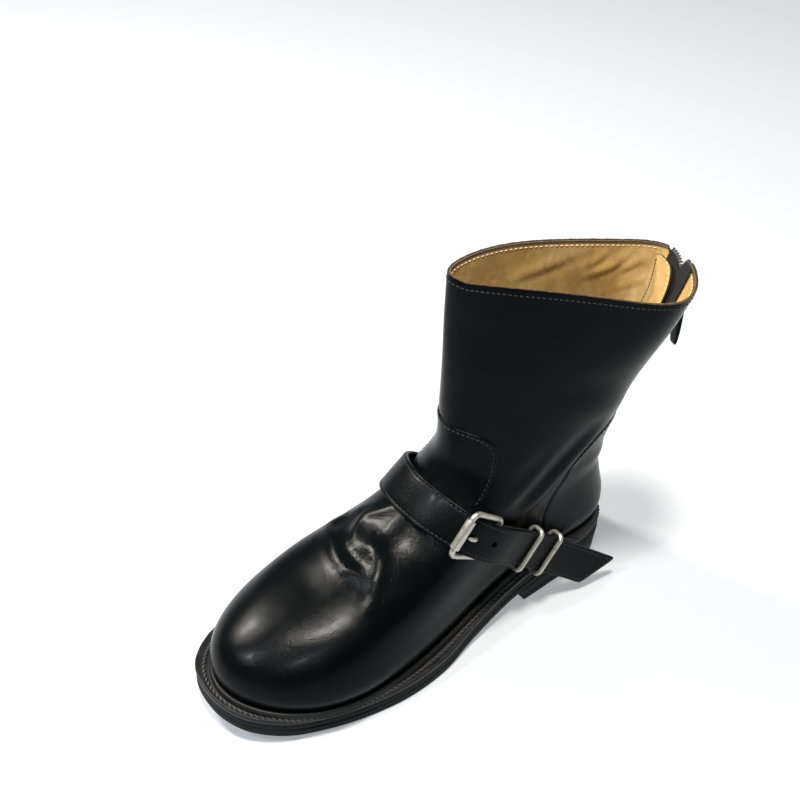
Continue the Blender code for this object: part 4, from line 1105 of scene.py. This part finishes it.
front_bar, rear_bar = np.array([ROLLER_X, ROLLER_P]), np.array([REAR_BAR_X, REAR_BAR_P])
reach = np.linalg.norm(front_bar - rear_bar) / 2
middle, leg = (front_bar + rear_bar) / 2, (front_bar - rear_bar) / (2 * reach)
wire_loop("buckle_wire", "buckle_frame", middle, leg, reach, FRAME_HALF, FRAME_CORNER, WIRE, FRAME_TAPER)
for name, p in KEEPERS:
    middle, reach = (KEEPER_OUTER_X + KEEPER_INNER_X) / 2, (KEEPER_OUTER_X - KEEPER_INNER_X) / 2
    wire_loop(name + "_wire", name, (middle, p), (1.0, 0.0), reach, KEEPER_HALF, KEEPER_CORNER, KEEPER_WIRE)

# %% Roller and prong
ROLLER_SIDES, SLIT_DEEP, SLIT_AT, SLIT_WIDE = 48, 0.35, 0.2, 0.10
ROLLER_SECTION = (
    # radius, place along the bar as a share of the half length
    (ROLLER_BORE, -0.985), (ROLLER_BORE + 0.25, -1.0), (ROLLER_RADIUS - 0.35, -1.0),
    (ROLLER_RADIUS - 0.08, -0.985), (ROLLER_RADIUS, -0.95), (ROLLER_RADIUS, 0.95),
    (ROLLER_RADIUS - 0.08, 0.985), (ROLLER_RADIUS - 0.35, 1.0), (ROLLER_BORE + 0.25, 1.0),
    (ROLLER_BORE, 0.985),
)
turn = 2 * math.pi * np.arange(ROLLER_SIDES) / ROLLER_SIDES
rings = []
for radius, share in ROLLER_SECTION:
    slit = SLIT_DEEP * np.exp(-(((turn - SLIT_AT) / SLIT_WIDE) ** 2)) * (radius > ROLLER_RADIUS - 0.1)
    x, p = ROLLER_X + (radius - slit) * np.cos(turn), ROLLER_P + (radius - slit) * np.sin(turn)
    rings.append(from_strap(x, p, share * ROLLER_HALF))
points, quads = skinned(rings, ring_of_rings=True)
add_piece("roller_sleeve", points, quads, NICKEL, ("buckle_roller",), sharp=40)

share = np.linspace(0, len(PRONG_PATH) - 1, 40)
bend = through(PRONG_PATH, share)
prong_radius = np.interp(share, (0, 0.1, 3.5, 4.0), (1.0, 1.3, 1.25, 0.7))
points, quads = tube(from_strap(bend[:, 0], bend[:, 1], 0.0), prong_radius, 12, closed=False)
add_piece("prong_wire", points, quads, NICKEL, ("buckle_prong",))

# %% [markdown]
# ## Zip
# The back of the shaft closes with a zip. Black tape is sewn behind the slit, interlocked metal teeth run up
# its middle to the slider, and above the slider the two rows part. Behind it all a tan guard keeps the zip
# off the leg: a flap sewn to the lining on its inner side, which stands off towards its free edge. Tape and
# guard are patches of the last, below its surface; a tooth is a small bevelled block, repeated along the slit
# by array maths.

# %% Tape and guard
TAPE_LIFT, TAPE_THICK, TAPE_LOW = -2.85, 0.9, ZIP_LOW - 0.25
TAPE_OUTER, TAPE_INNER, TAPE_SPREAD = 13.0, 12.0, 3.0
SLIDER_LOW, SLIDER_TOP, SLIDER_HALF, SLIDER_THICK = 11.30, 11.72, 3.9, 2.2
TOOTH_APART, OUTER_PART, INNER_PART, PARTED_TOP = 0.85, 3.0, 15.0, 11.985
GUARD_LIFT, GUARD_STAND, GUARD_BEND, GUARD_THICK = -2.45, 3.6, 11.0, 1.2
GUARD = np.array([
    # offset and row at the sewn side, offset and row at the free side
    (12.0, 8.25, -7.0, 8.25),
    (13.0, 10.0, -7.0, 10.0),
    (16.0, 10.86, -6.0, 10.86),
    (18.5, 11.20, -4.4, 11.20),
    (21.0, 11.45, -1.5, 11.47),
    (22.6, 11.60, 3.5, 11.68),
    (23.4, 11.70, 11.0, 11.77),
    (24.0, 11.76, 19.0, 11.80),
])


def beside_zip(row, offset, lift):
    """A point of the last, offset millimetres round from the zip's middle line (inwards is positive)."""
    row, offset = np.broadcast_arrays(np.asarray(row, float), np.asarray(offset, float))
    return on_last(zip_middle(row) + back_angle(row, 1.0) * offset, row, lift)


def parted(row, side):
    """Offset of a row of teeth: close together up to the slider, then drawn apart as distance squared."""
    share = np.clip((row - SLIDER_TOP) / (PARTED_TOP - SLIDER_TOP), 0, 1)
    return side * (TOOTH_APART + (INNER_PART if side > 0 else OUTER_PART) * share**2)


across, up = np.meshgrid(np.linspace(-1, 1, 81), np.linspace(0, 1, 70))
half = np.where(across > 0, TAPE_INNER + TAPE_SPREAD, TAPE_OUTER)
part = np.where(across > 0, INNER_PART, OUTER_PART)
rise = np.sqrt(np.clip((np.abs(across) * half - TOOTH_APART) / part, 0, 1))
row = TAPE_LOW + (SLIDER_TOP + (PARTED_TOP - SLIDER_TOP) * rise - 0.012 - TAPE_LOW) * up
offset = across * np.where(across > 0, TAPE_INNER + TAPE_SPREAD * smooth(row, 11.0, 12.0), TAPE_OUTER)
points, quads = wall(*(beside_zip(row, offset, lift) for lift in (TAPE_LIFT, TAPE_LIFT - TAPE_THICK)))[:2]
add_piece("tape", points, quads, ZIP_CLOTH, ("zip_tape",), sharp=40)


def guard_line(share, steps):
    """Offset, row and lift along the guard at a share of the way from its sewn to its free side: it stands
    off the lining as it leaves its seam."""
    table = through(GUARD, np.linspace(0, len(GUARD) - 1, steps))
    offset, row = (table[:, :2] + share * (table[:, 2:] - table[:, :2])).T
    return offset, row, GUARD_LIFT - GUARD_STAND * smooth(table[:, 0] - offset, 0.0, GUARD_BEND)


offset, row, lift = np.stack([guard_line(share, 90) for share in np.linspace(0, 1, 31)], -1)
points, quads, rim = wall(*(beside_zip(row, offset, lift - depth) for depth in (0.0, GUARD_THICK)))
add_piece("guard", points, quads, TAN_LEATHER, ("zip_guard",), edge=(RAW_EDGE, rim))

# %% Teeth
TOOTH_PITCH, TOOTH_LONG, TOOTH_TALL, TOOTH_THICK = 1.75, 3.0, 1.15, 2.0
TEETH_ROWS = (ZIP_CLOSED + 0.06, PARTED_TOP)
BLOCK = np.array([
    # across, up, out: the eight corners of a tooth, narrower at its front face
    (-1, -1, 0), (1, -1, 0), (1, 1, 0), (-1, 1, 0),
    (-0.8, -0.6, 1), (0.8, -0.6, 1), (0.8, 0.6, 1), (-0.8, 0.6, 1),
])
BLOCK_FACES = np.array([(0, 3, 2, 1), (4, 5, 6, 7), (0, 1, 5, 4), (1, 2, 6, 5), (2, 3, 7, 6), (3, 0, 4, 7)])


def teeth(side, shift):
    """One row of teeth: blocks a pitch apart up the slit, drawn apart above the slider."""

    def place(row, lift=TAPE_LIFT + 0.02):
        return beside_zip(row, parted(row, side), lift)

    line = np.linspace(*TEETH_ROWS, 900)
    run = measured(place(line))
    row = np.interp(np.arange(shift, run[-1], TOOTH_PITCH), run, line)
    centre = place(row)
    out = unit(place(row, TAPE_LIFT + 1.0) - centre)
    upward = unit(place(row + 0.004) - place(row - 0.004))
    across = unit(np.cross(upward, out))
    sizes = np.array([TOOTH_LONG / 2, TOOTH_TALL / 2, TOOTH_THICK])
    corners = (BLOCK * sizes)[None, :, :, None] * np.stack([across, upward, out], 1)[:, None]
    quads = (BLOCK_FACES[None] + (8 * np.arange(len(row)))[:, None, None]).reshape(-1, 4)
    return (corners.sum(2) + centre[:, None]).reshape(-1, 3), quads


points, quads = joined([teeth(-1, 0.9), teeth(1, 0.9 + TOOTH_PITCH / 2)])
add_piece("teeth", points, quads, ZIP_METAL, ("zip_teeth",), sharp=30)

# %% [markdown]
# ## Slider, bail and pull
# The slider is a small waisted plate that stays near the top. A wire bail arches over it and a slim leather
# pull hangs from the bail and swings, so it rides on its own body. The pull is a flat ring: every point lies
# between the hole's oval and the outline.

# %% Slider and bail
up, across = np.meshgrid(np.linspace(-1, 1, 21), np.linspace(-1, 1, 21), indexing="ij")
row = (SLIDER_LOW + SLIDER_TOP) / 2 + (SLIDER_TOP - SLIDER_LOW) / 2 * up
half = SLIDER_HALF * (0.74 + 0.26 * up**2) * np.sqrt(1 - 0.35 * np.abs(up) ** 8)
crown = SLIDER_THICK * (1 - 0.28 * np.maximum(np.abs(across), np.abs(up)) ** 6)
points, quads = wall(*(beside_zip(row, half * across, lift) for lift in (crown, -0.15)))[:2]
add_piece("slider_body", points, quads, NICKEL, ("zip_slider",), sharp=40)

BAIL_HALF, BAIL_WIRE, BAIL_LIFT, BAIL_LEG, PULL_LIFT = 3.6, 1.6, 6.3, 0.6, 4.1
slider_row = np.array([(SLIDER_LOW + SLIDER_TOP) / 2])
base = last_surface(zip_middle(slider_row) - 2 * math.pi, slider_row)[0]
above = last_surface(zip_middle(slider_row + 0.05) - 2 * math.pi, slider_row + 0.05)[0]
out = unit(beside_zip(slider_row, 0.0, 1.0)[0] - beside_zip(slider_row, 0.0, 0.0)[0])
upward = above - base
upward = unit(upward - out * (upward @ out))
turn = np.linspace(0, math.pi, 25)
foot = SLIDER_THICK - 0.3
along = np.concatenate([[BAIL_HALF], BAIL_HALF * np.cos(turn), [-BAIL_HALF]])
arch = BAIL_LEG + (BAIL_LIFT - foot - BAIL_LEG) * np.sqrt(np.sin(turn))
height = foot + np.concatenate([[0.0], arch, [0.0]])
points, quads = tube(base + upward * along[:, None] + out * height[:, None], BAIL_WIRE / 2, 12, closed=False)
add_piece("bail_wire", points, quads, NICKEL, ("zip_bail",))

# %% Pull
PULL_THICK = 1.8
PULL_SHAPE = np.array([
    # distance below the bail's bar, half width
    (-1.0, 2.0), (-0.6, 2.8), (1.0, 3.0), (6.2, 3.0), (10.0, 3.6), (20.0, 4.4), (32.0, 4.4), (41.0, 3.6),
    (45.4, 2.6), (46.0, 1.6),
])
HOLE_MIDDLE, HOLE_TALL, HOLE_HALF = 3.6, 2.6, 1.7
PULL_LEVELS = (
    # share of the way from hole to outline, share of the half thickness
    (0.0, 0.6), (0.06, 1.0), (0.5, 1.0), (0.94, 1.0), (0.985, 0.85), (1.0, 0.5),
)
side = through(PULL_SHAPE, np.linspace(0, len(PULL_SHAPE) - 1, 70))
rim_line = np.vstack([side, (side * [1, -1])[::-1]])
angle = np.arctan2(rim_line[:, 0] - HOLE_MIDDLE, rim_line[:, 1])
hole = np.stack([HOLE_MIDDLE + HOLE_TALL * np.sin(angle), HOLE_HALF * np.cos(angle)], -1)
axis_point = base + out * PULL_LIFT
level_out = unit(np.array([out[0], out[1], 0.0]))
level_side = np.array([level_out[1], -level_out[0], 0.0])


def pull_face(sign):
    """Rings of one face, from the hole to the outline, sign half a thickness out."""
    rings = []
    for share, thick in PULL_LEVELS:
        flat = hole + share * (rim_line - hole)
        place = axis_point + flat[:, :1] * [0.0, 0.0, -1.0] + flat[:, 1:] * level_side
        rings.append(place + sign * thick * PULL_THICK / 2 * level_out)
    return rings


points, quads = skinned(pull_face(1) + pull_face(-1)[::-1], ring_of_rings=True)
add_piece("pull_tab", points, quads, STRAP_CALF, ("zip_pull",), body="zip_pull", sharp=45)

# %% [markdown]
# ## Seams of the upper
# Rows of fine black stitches follow the tab, the counter and the collar. A pale row holds the lining just
# inside the collar's edge, another follows the guard's free side, and a dark row its sewn side.

# %% Upper seams
TAB_SEAM, COUNTER_SEAM = TAB_THICK - 0.10, COUNTER_THICK - 0.05
tab_rows = TAB_LOW + (TAB_TOP - TAB_CORNER - TAB_LOW) * np.linspace(0, 1, 60)
inner_angle = TAB_ANGLE - 2.6
across = np.linspace(-1, 1, 160)
tab_edge_row = TAB_TOP - TAB_CORNER * np.abs(across) ** 8 - 0.085
seams = [
    seam_on_last(np.full(60, inner_angle), tab_rows - 0.05, TAB_SEAM),
    seam_on_last(np.full(60, -inner_angle), tab_rows - 0.05, TAB_SEAM),
    seam_on_last(inner_angle * across, tab_edge_row, TAB_SEAM),
]
counter_up, COUNTER_SEAM_INSET = np.linspace(0.06, 0.93, 90), 1.6
for side in (-1, 1):
    lean = COUNTER_ANGLE - COUNTER_LEAN * counter_up**1.5 + COUNTER_SEAM_INSET
    limit = np.interp(lean, counter_curve[:, 0], counter_curve[:, 1]) - 0.02
    seams.append(seam_on_last(side * lean, COUNTER_FOOT + (limit - COUNTER_FOOT) * counter_up, COUNTER_SEAM))
top_angle = np.linspace(113, 247, 260)
folded_angle = 180 - np.abs(180 - top_angle)
top_row = np.interp(folded_angle, counter_curve[:, 0], counter_curve[:, 1]) - 0.13
seams.append(seam_on_last(top_angle, top_row, COUNTER_SEAM))
collar_turn = float(np.degrees(zip_middle(np.array([COLLAR_ROW]))[0])) - 180
collar_angle = np.linspace(-152, 172, 700) + collar_turn
seams.append(seam_on_last(collar_angle, np.full(700, COLLAR_ROW - 0.13), -0.05))
points, quads = joined(seams)
add_piece("upper_stitches", points, quads, BLACK_THREAD)

# %% Pale seams
PALE_STITCH, GUARD_STITCH = (2.3, 3.1, 0.75, 0.38), (2.6, 2.5, 0.7, 0.3)
lining_angle = np.radians(np.linspace(-157, 171, 700) + collar_turn)
lining_row = np.full(700, LINING_ROW - 0.04)


def guard_row(share, skip, *sizes):
    """A stitch row along the guard at a share of its width, on the side of the leg, past the first points."""
    offset, row, lift = (column[skip:] for column in guard_line(share, 300))
    return seam(lambda height: beside_zip(row, offset, height), lift - GUARD_THICK, *sizes, towards=-1.0)


pale = [
    seam(lambda height: on_last(lining_angle, lining_row, height), -LINING_FOOT, *PALE_STITCH, towards=-1.0),
    guard_row(0.90, 60, *PALE_STITCH),
]
points, quads = joined(pale)
add_piece("lining_stitches", points, quads, TAN_THREAD)
points, quads = guard_row(0.04, 0, *GUARD_STITCH)
add_piece("guard_seam", points, quads, BLACK_THREAD)

# %% [markdown]
# ## Studio
# The photograph has a plain pale ground and soft light: a lamp above the toe, a second to the inner side and
# weak fill from the other sides. Area lamps give the leather soft-edged highlights that follow the folds. The
# ground glows a little by itself, like a light table, so that it stays white while the lamps stay in measure.

# %% Floor, lamps and sky
FLOOR_HALF, FLOOR_GREY, FLOOR_GLOW = 4.0, (0.270, 0.285, 0.310, 1.0), 0.30
WHITE, SKY, SKY_STRENGTH = (1.0, 1.0, 1.0, 1.0), (0.90, 0.96, 1.0, 1.0), 0.16
floor_mesh = bpy.data.meshes.new("floor")
corners = [(x * FLOOR_HALF, y * FLOOR_HALF, 0) for x, y in ((-1, -1), (1, -1), (1, 1), (-1, 1))]
floor_mesh.from_pydata(corners, [], [(0, 1, 2, 3)])
floor_finish = Finish("floor", Base_Color=FLOOR_GREY, Roughness=0.9, Specular_IOR_Level=0.1,
                      Emission_Color=WHITE, Emission_Strength=FLOOR_GLOW)
floor_mesh.materials.append(floor_finish.material)
floor = bpy.data.objects.new("floor", floor_mesh)
bpy.context.scene.collection.objects.link(floor)

LAMPS = (
    # name, place in metres, aimed at, size in metres, power in watts, colour
    ("lamp_above", (0.19, -0.21, 1.60), (0.0, -0.06, 0.05), 0.27, 50.0, (1.0, 0.94, 0.84)),
    ("lamp_inner", (-1.05, -0.48, 1.18), (0.0, -0.06, 0.06), 0.30, 43.0, (1.0, 0.94, 0.85)),
    ("lamp_front", (-0.12, -0.98, 1.26), (0.0, -0.1, 0.05), 0.07, 14.0, (0.80, 0.92, 1.0)),
    ("lamp_outer", (0.90, -0.65, 1.20), (0.0, -0.05, 0.05), 0.06, 6.0, (0.80, 0.92, 1.0)),
    ("lamp_back", (0.3, 1.3, 1.4), (0.0, 0.05, 0.15), 0.5, 4.0, (1.0, 0.98, 0.95)),
)
for name, place, aim, size, power, colour in LAMPS:
    lamp_data = bpy.data.lights.new(name, "AREA")
    lamp_data.shape, lamp_data.size, lamp_data.energy, lamp_data.color = "DISK", size, power, colour
    lamp = bpy.data.objects.new(name, lamp_data)
    lamp.location = place
    lamp.rotation_euler = (Vector(aim) - Vector(place)).to_track_quat("-Z", "Y").to_euler()
    bpy.context.scene.collection.objects.link(lamp)

world = bpy.data.worlds.new("studio")
world.use_nodes = True
background = world.node_tree.nodes["Background"].inputs
background["Color"].default_value = SKY
background["Strength"].default_value = SKY_STRENGTH
bpy.context.scene.world = world
bpy.context.scene.view_settings.view_transform = "Standard"
print("lamps:", len(LAMPS))
